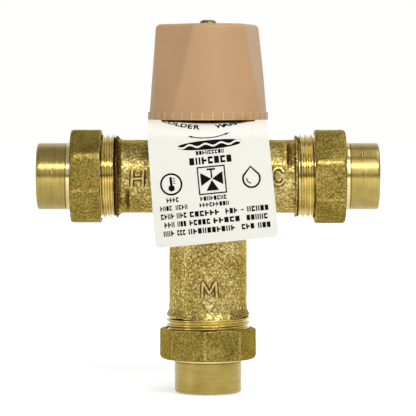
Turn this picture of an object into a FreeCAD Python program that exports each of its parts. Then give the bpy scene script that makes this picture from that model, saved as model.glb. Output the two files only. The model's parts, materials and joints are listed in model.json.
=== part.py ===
import FreeCAD
import Part
import math
import os

# A three-port mixing valve for hot and cold water, with union tails for soldering to copper pipe.
#
# A cast tee holds the hot inlet on -X, the cold inlet on +X and the mixed outlet below. A screwed-in
# bonnet closes the top. Under the tapered cap a spindle turns in the bonnet and drives a sliding nut
# up and down. The nut sets the height of a wax element, and the element carries a shuttle that shares
# the flow between a hot seat below it and a cold seat above it. A long spring lifts the shuttle back.
# Each inlet has a check cartridge, and each port ends in a gasket, a tail and an octagonal union nut.
#
# Frame: +Z up along the spindle, +X out of the cold inlet, and -Y towards the hanging label tag.
# The origin is the centre of the outlet tail's mouth, which is the lowest point.
# Heights named ..._H are above the inlet axis. In a port's own frame z is the distance outward from
# the machined face of that port.

# ---- body casting ---------------------------------------------------------------------------------
INLET_FACE = 47.2  # valve axis to the face of an inlet port
OUTLET_FACE = 64.5  # inlet axis down to the face of the outlet port
BODY_TOP_H = 19.5
CHAMBER_R = 18.5
CHAMBER_LOW_H = -15.5
SHOULDER_H = -21.5  # where the chamber has tapered down to the outlet neck
NECK_R = 15.3
ARM_R = 14.4
ARM_BLEND_R = 2.2
SHOULDER_BLEND_R = 3.0
BODY_TOP_CHAMFER = 0.6

# ---- port threads ---------------------------------------------------------------------------------
THREAD_R = 16.6
THREAD_DEPTH = 1.05
THREAD_PITCH = 2.0
THREAD_LENGTH = 11.0
THREAD_LEAD_IN = 1.0
CREST_SHARE = 0.12  # flat crest and flat root, each as a share of the pitch
FLARE_R = 16.2  # cast collar that the thread runs out against
FLARE_EDGE = 0.5
FLARE_LENGTH = 2.3

# ---- inside the casting ---------------------------------------------------------------------------
BONNET_BORE_R = 15.5
BONNET_BORE_H = 12.0
GALLERY_R = 15.0  # ring-shaped water galleries round the shuttle
GALLERY_TOP_H = 10.0
LAND_R = 12.5
LAND_HALF = 3.0
SEAT_R = 10.5
SEAT_THICKNESS = 2.0
MIXING_R = 11.5
SPRING_LEDGE_H = -40.0
OUTLET_BORE_R = 9.0
CHECK_BORE_R = 11.0
CHECK_BORE_DEPTH = 19.7
PASSAGE_WIDTH = 14.0
PASSAGE_OVERLAP = 0.5

# ---- unions ---------------------------------------------------------------------------------------
GASKET_T = 2.0
GASKET_R = 15.0
GASKET_HOLE_R = 9.6
SCREEN_T = 0.3
TAIL_FLANGE_R = 15.2
TAIL_FLANGE_T = 2.5
TAIL_R = 13.15
TAIL_LENGTH = 18.8
TAIL_COLLAR_R = 13.4
TAIL_COLLAR_OUT = 1.4  # how far the turned collar shows beyond the nut
TAIL_GROOVE = 0.3
WITNESS_GROOVE_Z = 13.5
WITNESS_GROOVE_DEPTH = 0.12
SOCKET_R = 11.15
SOCKET_DEPTH = 16.0
SOCKET_CHAMFER = 0.4
TAIL_STOP_R = 9.5
TAIL_END_ROUND = 1.2
NUT_SIDES = 8
NUT_FLATS = 36.0
NUT_CORNER_R = 19.0
NUT_OVERLAP = 5.65  # how far the nut reaches over the port's thread
NUT_LENGTH = 13.1
NUT_END_R = 17.3
NUT_END_ROUND = 1.5
NUT_TO_COLLAR = 0.2
NUT_TO_THREAD = 0.1
SLIP_RING_T = 0.8
SLIP_RING_GAP = 3.0
SLIDE_GAP = 0.05  # between faces that move past each other

# ---- check cartridges -----------------------------------------------------------------------------
CHECK_SIDE_GAP = 0.1
CHECK_RECESS = 0.4
CHECK_LENGTH = 18.5
CHECK_TUBE_R = 9.3
CHECK_SEAT_R = 6.5
CHECK_SEAT_T = 3.0
SPIDER_T = 2.0
SPIDER_DEPTH = 13.1  # cartridge's outer end to the spider
SPIDER_HUB_R = 3.6
SPIDER_ARM = 2.2
POPPET_R = 8.0
POPPET_T = 1.6
POPPET_SEAL_T = 0.55
POPPET_SEAL_HOLE_R = 4.0
POPPET_STEM_R = 1.8
POPPET_STEM_END = 14.4  # cartridge's outer end to the stem's tip
STEM_GAP = 0.1
CHECK_SPRING_R = 3.0
CHECK_SPRING_WIRE_R = 0.3
CHECK_SPRING_TURNS = 5
CHECK_RING_R = 0.5
CHECK_RING_DEPTH = 9.6

# ---- bonnet ---------------------------------------------------------------------------------------
TAG_T = 0.5
THREAD_GAP = 0.1
NOSE_R = 14.2
BONNET_RING_R = 0.9
BONNET_FLANGE_R = 17.5
BONNET_FLANGE_T = 1.6
BONNET_HEX = 32.0
BONNET_HEX_TOP_H = 27.0
BONNET_NECK_R = 11.5
BONNET_NECK_TOP_H = 40.0
BONNET_BOSS_R = 7.5
GUIDE_HEX = 16.0
GUIDE_HEX_TOP_H = 36.4
COLLAR_POCKET_R = 7.2
COLLAR_POCKET_TOP_H = 38.9

# ---- spindle, setting nut and overload plunger ----------------------------------------------------
SPINDLE_R = 4.0
SPINDLE_GAP = 0.05
SPINDLE_SCREW_R = 4.4
SPINDLE_LOW_H = 27.5
SPINDLE_COLLAR_R = 7.0
SPINDLE_COLLAR_T = 1.9
SPINDLE_TO_CEILING = 0.85  # spindle's top to the inside of the cap
THRUST_WASHER_T = 0.5
SPLINE_TEETH = 16
SPLINE_TOOTH = 0.45
SPLINE_ABOVE_BONNET = 1.6
STEM_RING_R = 0.58
STEM_RING_RISES = {"spindle_o_ring_lower": 2.3, "spindle_o_ring_upper": 4.9}  # above the collar pocket
UPPER_RING_TO_BONNET_TOP = 2.2
CIRCLIP_T = 0.7
CIRCLIP_R = 5.6
CIRCLIP_NECK_R = 3.4
CIRCLIP_OPENING = 60.0
SCREW_HOLE_R = 2.0
SCREW_HOLE_SPARE = 4.5  # depth left under the screw's tip
SETTING_NUT_GAP = 0.15
SETTING_NUT_LOW_H = 13.0
SETTING_NUT_TOP_H = 34.0
SETTING_NUT_CUP_R = 6.4
SETTING_NUT_CUP_TOP_H = 25.0
SNAP_RING_T = 0.8
SNAP_RING_BITE = 0.45
SNAP_RING_WIDTH = 1.5
PLUNGER_T = 2.0
PLUNGER_BOSS_R = 4.0
PLUNGER_BOSS_T = 1.5
PLUNGER_GAP = 0.1
OVERLOAD_SPRING_R = 5.3
OVERLOAD_WIRE_R = 0.65
OVERLOAD_TURNS = 4
PIN_R = 1.85
PIN_LOW_H = 1.0

# ---- wax element, shuttle and return spring -------------------------------------------------------
ELEMENT_BULB_R = 6.0
ELEMENT_BULB_LOW_H = -19.5
ELEMENT_COLLAR_R = 7.8
ELEMENT_COLLAR_T = 2.5
ELEMENT_STEM_R = 4.2
ELEMENT_STEM_TOP_H = 9.5
ELEMENT_BORE_LOW_H = -3.0
SHUTTLE_R = 12.4
SHUTTLE_HALF = 9.0
SHUTTLE_WALL = 1.5
SHUTTLE_BAND_R = 10.2
SHUTTLE_BAND_TOP_H = 2.0
SHUTTLE_HUB_R = 8.0
SHUTTLE_HUB_T = 4.0
SHUTTLE_SPOKE = 2.6
SHUTTLE_SPOKE_COUNT = 4
SHUTTLE_RING_R = 0.6
SHUTTLE_RING_H = -1.2
HUB_GAP = 0.15
RETURN_SPRING_R = 9.45
RETURN_WIRE_R = 0.8
RETURN_TURNS = 6

# ---- cap ------------------------------------------------------------------------------------------
CAP_RIM_LOW_H = 22.3
CAP_RIM_TOP_H = 25.45
CAP_TOP_H = 59.85
CAP_RIM_R = 23.45
CAP_LOW_R = 23.0
CAP_TOP_R = 20.5
CAP_WALL = 2.0
CAP_TOP_ROUND = 1.7
CAP_FLAT_LOW = 22.87  # valve axis to a flat, at the rim and at the top
CAP_FLAT_TOP = 17.7
CAP_FLATS = 3
CAP_TURN = 13.7  # degrees that the cap's middle lobe stands to the right of -Y
CAP_RIB_COUNT = 36
CAP_RIB_WIDTH = 0.5
CAP_RIB_HEIGHT = 0.25
CAP_RIB_TURN = 4.5
CAP_HUB_R = 7.2
CAP_HUB_TO_BONNET = 3.0
CAP_WEB_COUNT = 6
CAP_WEB_T = 1.4
CAP_WEB_RISE = 1.5  # hub's lower end to the webs
SPLINE_GAP = 0.1
SCREW_R = 1.85
SCREW_LENGTH = 10.35  # under its head
SCREW_HEAD_R = 3.3
SCREW_HEAD_T = 1.7
SCREW_HEAD_EDGE = 0.6
SCREW_CLEARANCE_R = 2.3
SCREW_SLOT_WIDTH = 0.9
SCREW_SLOT_LENGTH = 3.8
SCREW_SLOT_DEPTH = 1.0

# ---- label tag ------------------------------------------------------------------------------------
TAG_WIDTH = 46.0
TAG_BACK_R = 20.8
TAG_HOLE_GAP = 0.2
TAG_BEND_R = 6.5  # outside of the bend
TAG_FRONT = 27.0  # valve axis to the outer face of the hanging panel
TAG_DROP = 44.3  # bend line to the panel's lower edge
TAG_TILT = 5.5  # degrees that the panel hangs to the right of plumb
TAG_SHIFT = -0.2
TAG_CORNER_R = 1.6

# ---- worked out -----------------------------------------------------------------------------------
TAIL_END = GASKET_T + TAIL_LENGTH
AXIS_Z = OUTLET_FACE + TAIL_END  # height of the inlet axis
THREAD_ROOT_R = THREAD_R - THREAD_DEPTH
BONNET_SEAT_H = BODY_TOP_H + TAG_T
SPIGOT_R = BONNET_BORE_R - THREAD_GAP
CHECK_R = CHECK_BORE_R - CHECK_SIDE_GAP
SETTING_NUT_HEX = GUIDE_HEX - 2 * SETTING_NUT_GAP
SNAP_RING_LOW_H = SETTING_NUT_LOW_H + SNAP_RING_T
PLUNGER_LOW_H = SNAP_RING_LOW_H + SNAP_RING_T + PLUNGER_GAP
PLUNGER_TOP_H = PLUNGER_LOW_H + PLUNGER_T
SPINDLE_COLLAR_TOP_H = COLLAR_POCKET_TOP_H - THRUST_WASHER_T
GUIDE_BORE_R = SPINDLE_R + SPINDLE_GAP
SHUTTLE_INNER_R = SHUTTLE_R - SHUTTLE_WALL
SPINDLE_TOP_H = CAP_TOP_H - CAP_WALL - SPINDLE_TO_CEILING
UPPER_RING_H = COLLAR_POCKET_TOP_H + STEM_RING_RISES["spindle_o_ring_upper"]
BONNET_TOP_H = UPPER_RING_H + UPPER_RING_TO_BONNET_TOP
SPLINE_LOW_H = BONNET_TOP_H + SPLINE_ABOVE_BONNET
CAP_HUB_LOW_H = BONNET_TOP_H + CAP_HUB_TO_BONNET
SCREW_LOW_H = CAP_TOP_H - SCREW_LENGTH
SCREW_HOLE_LOW_H = SCREW_LOW_H - SCREW_HOLE_SPARE
SPLINE_TIP_R = SPINDLE_R - SPINDLE_GAP
SPLINE_ROOT_R = SPLINE_TIP_R - SPLINE_TOOTH

ORIGIN = FreeCAD.Vector(0, 0, 0)
ALONG_X = FreeCAD.Vector(1, 0, 0)
ALONG_Y = FreeCAD.Vector(0, 1, 0)
UP = FreeCAD.Vector(0, 0, 1)

# Each port: where its face is, the turn that carries the port frame's +Z outward, and the angle in
# the port frame that one flat of its nut faces.
PORTS = {
    "hot": (FreeCAD.Vector(-INLET_FACE, 0, 0), ALONG_Y, -90.0, -85.4),
    "cold": (FreeCAD.Vector(INLET_FACE, 0, 0), ALONG_Y, 90.0, -85.8),
    "outlet": (FreeCAD.Vector(0, 0, -OUTLET_FACE), ALONG_X, 180.0, 70.4),
}


# ---- shape helpers --------------------------------------------------------------------------------
def outline(start, *steps):
    """Closed face in the XZ plane. A step is a point, or a pair: a point on an arc and its end."""
    edges = []
    here = FreeCAD.Vector(start[0], 0, start[1])
    for step in list(steps) + [start]:
        if isinstance(step[0], tuple):
            middle, end = [FreeCAD.Vector(x, 0, z) for x, z in step]
            edges.append(Part.Arc(here, middle, end).toShape())
        else:
            end = FreeCAD.Vector(step[0], 0, step[1])
            edges.append(Part.LineSegment(here, end).toShape())
        here = end
    return Part.Face(Part.Wire(edges))


def lathe(start, *steps):
    """Solid of revolution about Z, from an outline of (radius, height) points."""
    return outline(start, *steps).revolve(ORIGIN, UP, 360)


def rounded_corner(radius_end, height_end, round_r):
    """Arc step for an outline that goes up a cylinder and turns inward at its top edge."""
    lean = round_r * (1 - math.sqrt(0.5))
    return (radius_end - lean, height_end - lean), (radius_end - round_r, height_end)


def disc(radius, low, high):
    return Part.makeCylinder(radius, high - low, FreeCAD.Vector(0, 0, low))


def ring(inner_r, outer_r, low, high):
    return lathe((inner_r, low), (outer_r, low), (outer_r, high), (inner_r, high))


def o_ring(centre_r, section_r, height):
    return Part.makeTorus(centre_r, section_r, FreeCAD.Vector(0, 0, height), UP)


def polygon_prism(points, low, high):
    corners = [FreeCAD.Vector(x, y, low) for x, y in points]
    face = Part.Face(Part.makePolygon(corners + corners[:1]))
    return face.extrude(UP * (high - low))


def polar(radius, degrees):
    return radius * math.cos(math.radians(degrees)), radius * math.sin(math.radians(degrees))


def flats_prism(sides, across, low, high, face_turn=0.0):
    """Regular prism, one flat of which faces face_turn degrees from +X."""
    corner_r = across / 2 / math.cos(math.pi / sides)
    step = 360.0 / sides
    points = [polar(corner_r, face_turn + (k + 0.5) * step) for k in range(sides)]
    return polygon_prism(points, low, high)


def spline_prism(root_r, tip_r, low, high):
    """Straight-sided spline with SPLINE_TEETH teeth."""
    points = []
    step = 360.0 / SPLINE_TEETH
    for k in range(SPLINE_TEETH):
        for radius, share in ((root_r, -0.32), (tip_r, -0.16), (tip_r, 0.16), (root_r, 0.32)):
            points.append(polar(radius, (k + share) * step))
    return polygon_prism(points, low, high)


def open_ring(inner_r, outer_r, low, high, opening, turn=0.0):
    """Flat ring with a gap of so many degrees, centred turn degrees from +X."""
    whole = ring(inner_r, outer_r, low, high)
    half = opening / 2
    reach = 2 * outer_r
    gap = [(0, 0), polar(reach, turn - half), polar(reach, turn + half)]
    return whole.cut(polygon_prism(gap, low, high))


def coil(mean_r, wire_r, low, high, turns):
    """Compression spring of round wire that touches the planes low and high, swept in half turns."""
    halves = round(2 * turns)
    climb = (high - low - 2 * wire_r) / halves
    faces = []
    for half in range(halves):
        path = Part.makeHelix(2 * climb, climb, mean_r)
        path.rotate(ORIGIN, UP, 180.0 * half)
        path.translate(UP * (low + wire_r + half * climb))
        edge = path.Edges[0]
        start, end = edge.FirstParameter, edge.LastParameter
        section = Part.Wire(Part.makeCircle(wire_r, edge.valueAt(start), edge.tangentAt(start)))
        faces.extend(Part.Wire([edge]).makePipeShell([section], False, True).Faces)
        if half == 0:
            faces.append(Part.Face(section))
        if half == halves - 1:
            tip = Part.makeCircle(wire_r, edge.valueAt(end), edge.tangentAt(end))
            faces.append(Part.Face(Part.Wire(tip)))
    skin = Part.makeShell(faces)
    skin.sewShape()
    return Part.makeSolid(skin)


def around(shape, count, first=0.0):
    """Copies of a shape, spaced evenly about Z."""
    return [shape.rotated(ORIGIN, UP, first + k * 360.0 / count) for k in range(count)]


def thread_steps(first_z, last_z):
    """Points of a ridged outline that stands in for the screw thread, from first_z down to last_z."""
    flat = THREAD_PITCH * CREST_SHARE
    slope = THREAD_PITCH / 2 - flat
    steps = []
    z = first_z
    while z - THREAD_PITCH > last_z:
        steps += [(THREAD_R, z), (THREAD_R, z - flat)]
        steps += [(THREAD_ROOT_R, z - flat - slope), (THREAD_ROOT_R, z - 2 * flat - slope)]
        z -= THREAD_PITCH
    return steps


def in_valve(shape):
    """From heights above the inlet axis to the part's own frame."""
    return shape.translated(UP * AXIS_Z)


def at_port(shape, port):
    """From a port's frame to the part's own frame."""
    place, axis, turn, _ = PORTS[port]
    return in_valve(shape.rotated(ORIGIN, axis, turn).translated(place))


# ---- body casting ---------------------------------------------------------------------------------
def port_stub():
    """Threaded end of a port with its cast collar, in the port frame."""
    thread_end = -THREAD_LENGTH
    return lathe(
        (0, 0),
        (THREAD_ROOT_R, 0),
        *thread_steps(-THREAD_LEAD_IN, thread_end),
        (THREAD_ROOT_R, thread_end),
        (FLARE_R, thread_end),
        (FLARE_R, thread_end - FLARE_EDGE),
        (min(ARM_R, NECK_R), thread_end - FLARE_LENGTH),
        (0, thread_end - FLARE_LENGTH),
    )


def curved_seams(shape):
    """Edges where two curved walls meet in a free-form line."""
    return [e for e in shape.Edges if isinstance(e.Curve, Part.BSplineCurve)]


def casting_outside():
    neck_low_h = THREAD_LENGTH + FLARE_EDGE - OUTLET_FACE
    tower = lathe(
        (0, neck_low_h),
        (NECK_R, neck_low_h),
        (NECK_R, SHOULDER_H),
        (CHAMBER_R, CHAMBER_LOW_H),
        (CHAMBER_R, BODY_TOP_H - BODY_TOP_CHAMFER),
        (CHAMBER_R - BODY_TOP_CHAMFER, BODY_TOP_H),
        (0, BODY_TOP_H),
    )
    rims = [e for e in tower.Edges if abs(e.BoundBox.ZMin - e.BoundBox.ZMax) < 1e-6]
    shoulder = [e for e in rims if SHOULDER_H - 1e-3 < e.BoundBox.ZMin < CHAMBER_LOW_H + 1e-3]
    tower = tower.makeFillet(SHOULDER_BLEND_R, shoulder)
    arm_end = INLET_FACE - THREAD_LENGTH - FLARE_EDGE
    arms = Part.makeCylinder(ARM_R, 2 * arm_end, FreeCAD.Vector(-arm_end, 0, 0), ALONG_X)
    tee = tower.fuse(arms).removeSplitter()
    tee = tee.makeFillet(ARM_BLEND_R, curved_seams(tee))
    stubs = []
    for place, axis, turn, _ in PORTS.values():
        stubs.append(port_stub().rotated(ORIGIN, axis, turn).translated(place))
    return tee.fuse(stubs)


def passage(side, low_h):
    """Cast way from an inlet's check bore into a gallery."""
    outer = INLET_FACE - CHECK_BORE_DEPTH + PASSAGE_OVERLAP
    inner = LAND_R
    height = GALLERY_TOP_H - LAND_HALF
    corner = FreeCAD.Vector(inner if side > 0 else -outer, -PASSAGE_WIDTH / 2, low_h)
    return Part.makeBox(outer - inner, PASSAGE_WIDTH, height, corner)


def casting_inside():
    well = lathe(
        (0, -OUTLET_FACE),
        (OUTLET_BORE_R, -OUTLET_FACE),
        (OUTLET_BORE_R, SPRING_LEDGE_H),
        (MIXING_R, SPRING_LEDGE_H),
        (MIXING_R, -GALLERY_TOP_H - SEAT_THICKNESS),
        (SEAT_R, -GALLERY_TOP_H - SEAT_THICKNESS),
        (SEAT_R, -GALLERY_TOP_H),
        (GALLERY_R, -GALLERY_TOP_H),
        (GALLERY_R, -LAND_HALF),
        (LAND_R, -LAND_HALF),
        (LAND_R, LAND_HALF),
        (GALLERY_R, LAND_HALF),
        (GALLERY_R, BONNET_BORE_H),
        (BONNET_BORE_R, BONNET_BORE_H),
        (BONNET_BORE_R, BODY_TOP_H),
        (0, BODY_TOP_H),
    )
    bores = [well, passage(-1, -GALLERY_TOP_H), passage(1, LAND_HALF)]
    for port in ("hot", "cold"):
        place, axis, turn, _ = PORTS[port]
        bore = disc(CHECK_BORE_R, -CHECK_BORE_DEPTH, 0)
        bores.append(bore.rotated(ORIGIN, axis, turn).translated(place))
    return bores


def valve_body():
    return casting_outside().cut(casting_inside()).removeSplitter()


# ---- unions, in the port frame --------------------------------------------------------------------
def tail():
    flange_top = GASKET_T + TAIL_FLANGE_T
    collar_top = NUT_LENGTH - NUT_OVERLAP + TAIL_COLLAR_OUT
    groove_r = TAIL_R - TAIL_GROOVE
    witness_r = TAIL_R - WITNESS_GROOVE_DEPTH
    witness_half = 2 * WITNESS_GROOVE_DEPTH
    stop = TAIL_END - SOCKET_DEPTH
    return lathe(
        (TAIL_STOP_R, GASKET_T),
        (TAIL_FLANGE_R, GASKET_T),
        (TAIL_FLANGE_R, flange_top),
        (TAIL_COLLAR_R, flange_top),
        (TAIL_COLLAR_R, collar_top),
        (groove_r, collar_top),
        (groove_r, collar_top + TAIL_GROOVE),
        (TAIL_R, collar_top + TAIL_GROOVE),
        (TAIL_R, WITNESS_GROOVE_Z - witness_half),
        (witness_r, WITNESS_GROOVE_Z),
        (TAIL_R, WITNESS_GROOVE_Z + witness_half),
        (TAIL_R, TAIL_END - TAIL_END_ROUND),
        rounded_corner(TAIL_R, TAIL_END, TAIL_END_ROUND),
        (SOCKET_R + SOCKET_CHAMFER, TAIL_END),
        (SOCKET_R, TAIL_END - SOCKET_CHAMFER),
        (SOCKET_R, stop),
        (TAIL_STOP_R, stop),
    )


def union_nut(face_turn):
    low = -NUT_OVERLAP
    high = low + NUT_LENGTH
    lip_low = GASKET_T + TAIL_FLANGE_T + SLIP_RING_T + 2 * SLIDE_GAP
    lean = NUT_CORNER_R - NUT_END_R
    envelope = lathe(
        (0, low),
        (NUT_CORNER_R, low),
        (NUT_CORNER_R, high - NUT_END_ROUND),
        ((NUT_CORNER_R - 0.35 * lean, high - 0.4 * NUT_END_ROUND), (NUT_END_R, high)),
        (0, high),
    )
    block = flats_prism(NUT_SIDES, NUT_FLATS, low, high, face_turn).common(envelope)
    hollow = lathe(
        (0, low),
        (THREAD_R + NUT_TO_THREAD + THREAD_DEPTH / 2, low),
        (THREAD_R + NUT_TO_THREAD, low + THREAD_DEPTH / 2),
        (THREAD_R + NUT_TO_THREAD, lip_low),
        (TAIL_COLLAR_R + NUT_TO_COLLAR, lip_low),
        (TAIL_COLLAR_R + NUT_TO_COLLAR, high),
        (0, high),
    )
    return block.cut(hollow)


def slip_ring():
    low = GASKET_T + TAIL_FLANGE_T + SLIDE_GAP
    return ring(TAIL_COLLAR_R + NUT_TO_COLLAR, TAIL_FLANGE_R, low, low + SLIP_RING_T).cut(
        Part.makeBox(
            TAIL_FLANGE_R,
            SLIP_RING_GAP,
            SLIP_RING_T,
            FreeCAD.Vector(0, -SLIP_RING_GAP / 2, low),
        )
    )


def gasket():
    return ring(GASKET_HOLE_R, GASKET_R, 0, GASKET_T)


def screen():
    middle = GASKET_T / 2
    return disc(GASKET_HOLE_R, middle - SCREEN_T / 2, middle + SCREEN_T / 2)


# ---- check cartridge, in the port frame -----------------------------------------------------------
def check_housing():
    outer = -CHECK_RECESS
    inner = outer - CHECK_LENGTH
    groove_z = outer - CHECK_RING_DEPTH
    groove_r = CHECK_R - 2 * CHECK_RING_R + CHECK_SIDE_GAP / 2
    shell = lathe(
        (CHECK_SEAT_R, outer),
        (CHECK_R, outer),
        (CHECK_R, groove_z + CHECK_RING_R),
        (groove_r, groove_z + CHECK_RING_R),
        (groove_r, groove_z - CHECK_RING_R),
        (CHECK_R, groove_z - CHECK_RING_R),
        (CHECK_R, inner),
        (CHECK_TUBE_R, inner),
        (CHECK_TUBE_R, outer - CHECK_SEAT_T),
        (CHECK_SEAT_R, outer - CHECK_SEAT_T),
    )
    spider_high = outer - SPIDER_DEPTH
    spider_low = spider_high - SPIDER_T
    arm_length = (CHECK_TUBE_R + CHECK_R) / 2
    arm = Part.makeBox(
        arm_length, SPIDER_ARM, SPIDER_T, FreeCAD.Vector(0, -SPIDER_ARM / 2, spider_low)
    )
    hub = disc(SPIDER_HUB_R, spider_low, spider_high)
    stem_hole = disc(POPPET_STEM_R + STEM_GAP, spider_low, spider_high)
    return shell.fuse([hub] + around(arm, 3)).cut(stem_hole).removeSplitter()


def check_poppet():
    seal_front = -CHECK_RECESS - CHECK_SEAT_T - SLIDE_GAP
    front = seal_front - POPPET_SEAL_T
    back = front - POPPET_T
    tip = -CHECK_RECESS - POPPET_STEM_END
    return lathe(
        (0, seal_front),
        (POPPET_SEAL_HOLE_R, seal_front),
        (POPPET_SEAL_HOLE_R, front),
        (POPPET_R, front),
        (POPPET_R, back),
        (POPPET_STEM_R, back),
        (POPPET_STEM_R, tip),
        (0, tip),
    )


def check_seal():
    front = -CHECK_RECESS - CHECK_SEAT_T - SLIDE_GAP
    return ring(POPPET_SEAL_HOLE_R, POPPET_R, front - POPPET_SEAL_T, front)


def check_spring():
    poppet_back = -CHECK_RECESS - CHECK_SEAT_T - SLIDE_GAP - POPPET_SEAL_T - POPPET_T
    spider_face = -CHECK_RECESS - SPIDER_DEPTH
    return coil(CHECK_SPRING_R, CHECK_SPRING_WIRE_R, spider_face, poppet_back, CHECK_SPRING_TURNS)


def check_o_ring():
    centre_r = CHECK_BORE_R - CHECK_SIDE_GAP / 4 - CHECK_RING_R
    return o_ring(centre_r, CHECK_RING_R, -CHECK_RECESS - CHECK_RING_DEPTH)


# ---- bonnet ---------------------------------------------------------------------------------------
def bonnet():
    groove_low = BONNET_BORE_H + 0.5
    groove_high = groove_low + 2 * BONNET_RING_R + 0.2
    groove_r = BONNET_BORE_R - 2 * BONNET_RING_R - 0.05
    flange_top = BONNET_SEAT_H + BONNET_FLANGE_T
    turned = lathe(
        (0, GALLERY_TOP_H),
        (NOSE_R, GALLERY_TOP_H),
        (NOSE_R, BONNET_BORE_H + 0.1),
        (SPIGOT_R, BONNET_BORE_H + 0.1),
        (SPIGOT_R, groove_low),
        (groove_r, groove_low),
        (groove_r, groove_high),
        (SPIGOT_R, groove_high),
        (SPIGOT_R, BONNET_SEAT_H),
        (BONNET_FLANGE_R, BONNET_SEAT_H),
        (BONNET_FLANGE_R, flange_top),
        (BONNET_NECK_R, flange_top),
        (BONNET_NECK_R, BONNET_NECK_TOP_H - 1.5),
        (BONNET_NECK_R - 1.5, BONNET_NECK_TOP_H),
        (BONNET_BOSS_R, BONNET_NECK_TOP_H),
        (BONNET_BOSS_R, BONNET_TOP_H - 0.6),
        (BONNET_BOSS_R - 0.6, BONNET_TOP_H),
        (0, BONNET_TOP_H),
    )
    wrench_hex = flats_prism(6, BONNET_HEX, flange_top, BONNET_HEX_TOP_H, 30.0)
    hollow = [
        flats_prism(6, GUIDE_HEX, GALLERY_TOP_H, GUIDE_HEX_TOP_H),
        disc(COLLAR_POCKET_R, GUIDE_HEX_TOP_H, COLLAR_POCKET_TOP_H),
        disc(GUIDE_BORE_R, COLLAR_POCKET_TOP_H, BONNET_TOP_H),
    ]
    return turned.fuse(wrench_hex).cut(hollow)


def bonnet_o_ring():
    middle_h = BONNET_BORE_H + 0.6 + BONNET_RING_R
    return o_ring(BONNET_BORE_R - 0.02 - BONNET_RING_R, BONNET_RING_R, middle_h)


# ---- spindle and what it drives -------------------------------------------------------------------
def spindle():
    collar_low = SPINDLE_COLLAR_TOP_H - SPINDLE_COLLAR_T
    steps = [
        (SPINDLE_SCREW_R - 0.8, SPINDLE_LOW_H),
        (SPINDLE_SCREW_R, SPINDLE_LOW_H + 0.8),
        (SPINDLE_SCREW_R, collar_low),
        (SPINDLE_COLLAR_R, collar_low),
        (SPINDLE_COLLAR_R, SPINDLE_COLLAR_TOP_H),
        (SPINDLE_R, SPINDLE_COLLAR_TOP_H),
    ]
    ring_groove_r = GUIDE_BORE_R - 2 * STEM_RING_R - 0.03
    ring_groove_half = STEM_RING_R + 0.07
    for rise in STEM_RING_RISES.values():
        height = COLLAR_POCKET_TOP_H + rise
        steps += [
            (SPINDLE_R, height - ring_groove_half),
            (ring_groove_r, height - ring_groove_half),
            (ring_groove_r, height + ring_groove_half),
            (SPINDLE_R, height + ring_groove_half),
        ]
    clip_low = BONNET_TOP_H + SLIDE_GAP
    clip_high = clip_low + CIRCLIP_T + SLIDE_GAP
    steps += [
        (SPINDLE_R, clip_low),
        (CIRCLIP_NECK_R, clip_low),
        (CIRCLIP_NECK_R, clip_high),
        (SPINDLE_R, clip_high),
        (SPINDLE_R, SPLINE_LOW_H),
        (0, SPLINE_LOW_H),
    ]
    turned = lathe((0, SPINDLE_LOW_H), *steps)
    spline = spline_prism(SPLINE_ROOT_R, SPLINE_TIP_R, SPLINE_LOW_H, SPINDLE_TOP_H)
    return turned.fuse(spline).cut(disc(SCREW_HOLE_R, SCREW_HOLE_LOW_H, SPINDLE_TOP_H))


def thrust_washer():
    return ring(SPINDLE_R + 0.1, SPINDLE_COLLAR_R, SPINDLE_COLLAR_TOP_H, COLLAR_POCKET_TOP_H - 0.05)


def spindle_circlip():
    low = BONNET_TOP_H + 1.5 * SLIDE_GAP
    return open_ring(CIRCLIP_NECK_R, CIRCLIP_R, low, low + CIRCLIP_T, CIRCLIP_OPENING)


def spindle_o_ring(height):
    return o_ring(GUIDE_BORE_R - 0.02 - STEM_RING_R, STEM_RING_R, height)


def snap_ring_seat_r():
    return SETTING_NUT_CUP_R + SNAP_RING_BITE


def setting_nut():
    block = flats_prism(6, SETTING_NUT_HEX, SETTING_NUT_LOW_H, SETTING_NUT_TOP_H)
    return block.cut(
        [
            disc(SPINDLE_SCREW_R + THREAD_GAP, SETTING_NUT_LOW_H, SETTING_NUT_TOP_H),
            disc(SETTING_NUT_CUP_R, SETTING_NUT_LOW_H, SETTING_NUT_CUP_TOP_H),
            disc(snap_ring_seat_r(), SNAP_RING_LOW_H, SNAP_RING_LOW_H + SNAP_RING_T),
        ]
    )


def overload_snap_ring():
    outer_r = snap_ring_seat_r()
    high = SNAP_RING_LOW_H + SNAP_RING_T
    return open_ring(outer_r - SNAP_RING_WIDTH, outer_r, SNAP_RING_LOW_H, high, 40.0, 90.0)


def overload_plunger():
    return lathe(
        (0, PLUNGER_LOW_H),
        (SETTING_NUT_CUP_R - PLUNGER_GAP, PLUNGER_LOW_H),
        (SETTING_NUT_CUP_R - PLUNGER_GAP, PLUNGER_TOP_H),
        (PLUNGER_BOSS_R, PLUNGER_TOP_H),
        (PLUNGER_BOSS_R, PLUNGER_TOP_H + PLUNGER_BOSS_T - 0.5),
        (PLUNGER_BOSS_R - 0.5, PLUNGER_TOP_H + PLUNGER_BOSS_T),
        (0, PLUNGER_TOP_H + PLUNGER_BOSS_T),
    )


def overload_spring():
    high = SETTING_NUT_CUP_TOP_H
    return coil(OVERLOAD_SPRING_R, OVERLOAD_WIRE_R, PLUNGER_TOP_H, high, OVERLOAD_TURNS)


def push_pin():
    return disc(PIN_R, PIN_LOW_H, PLUNGER_LOW_H)


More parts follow.
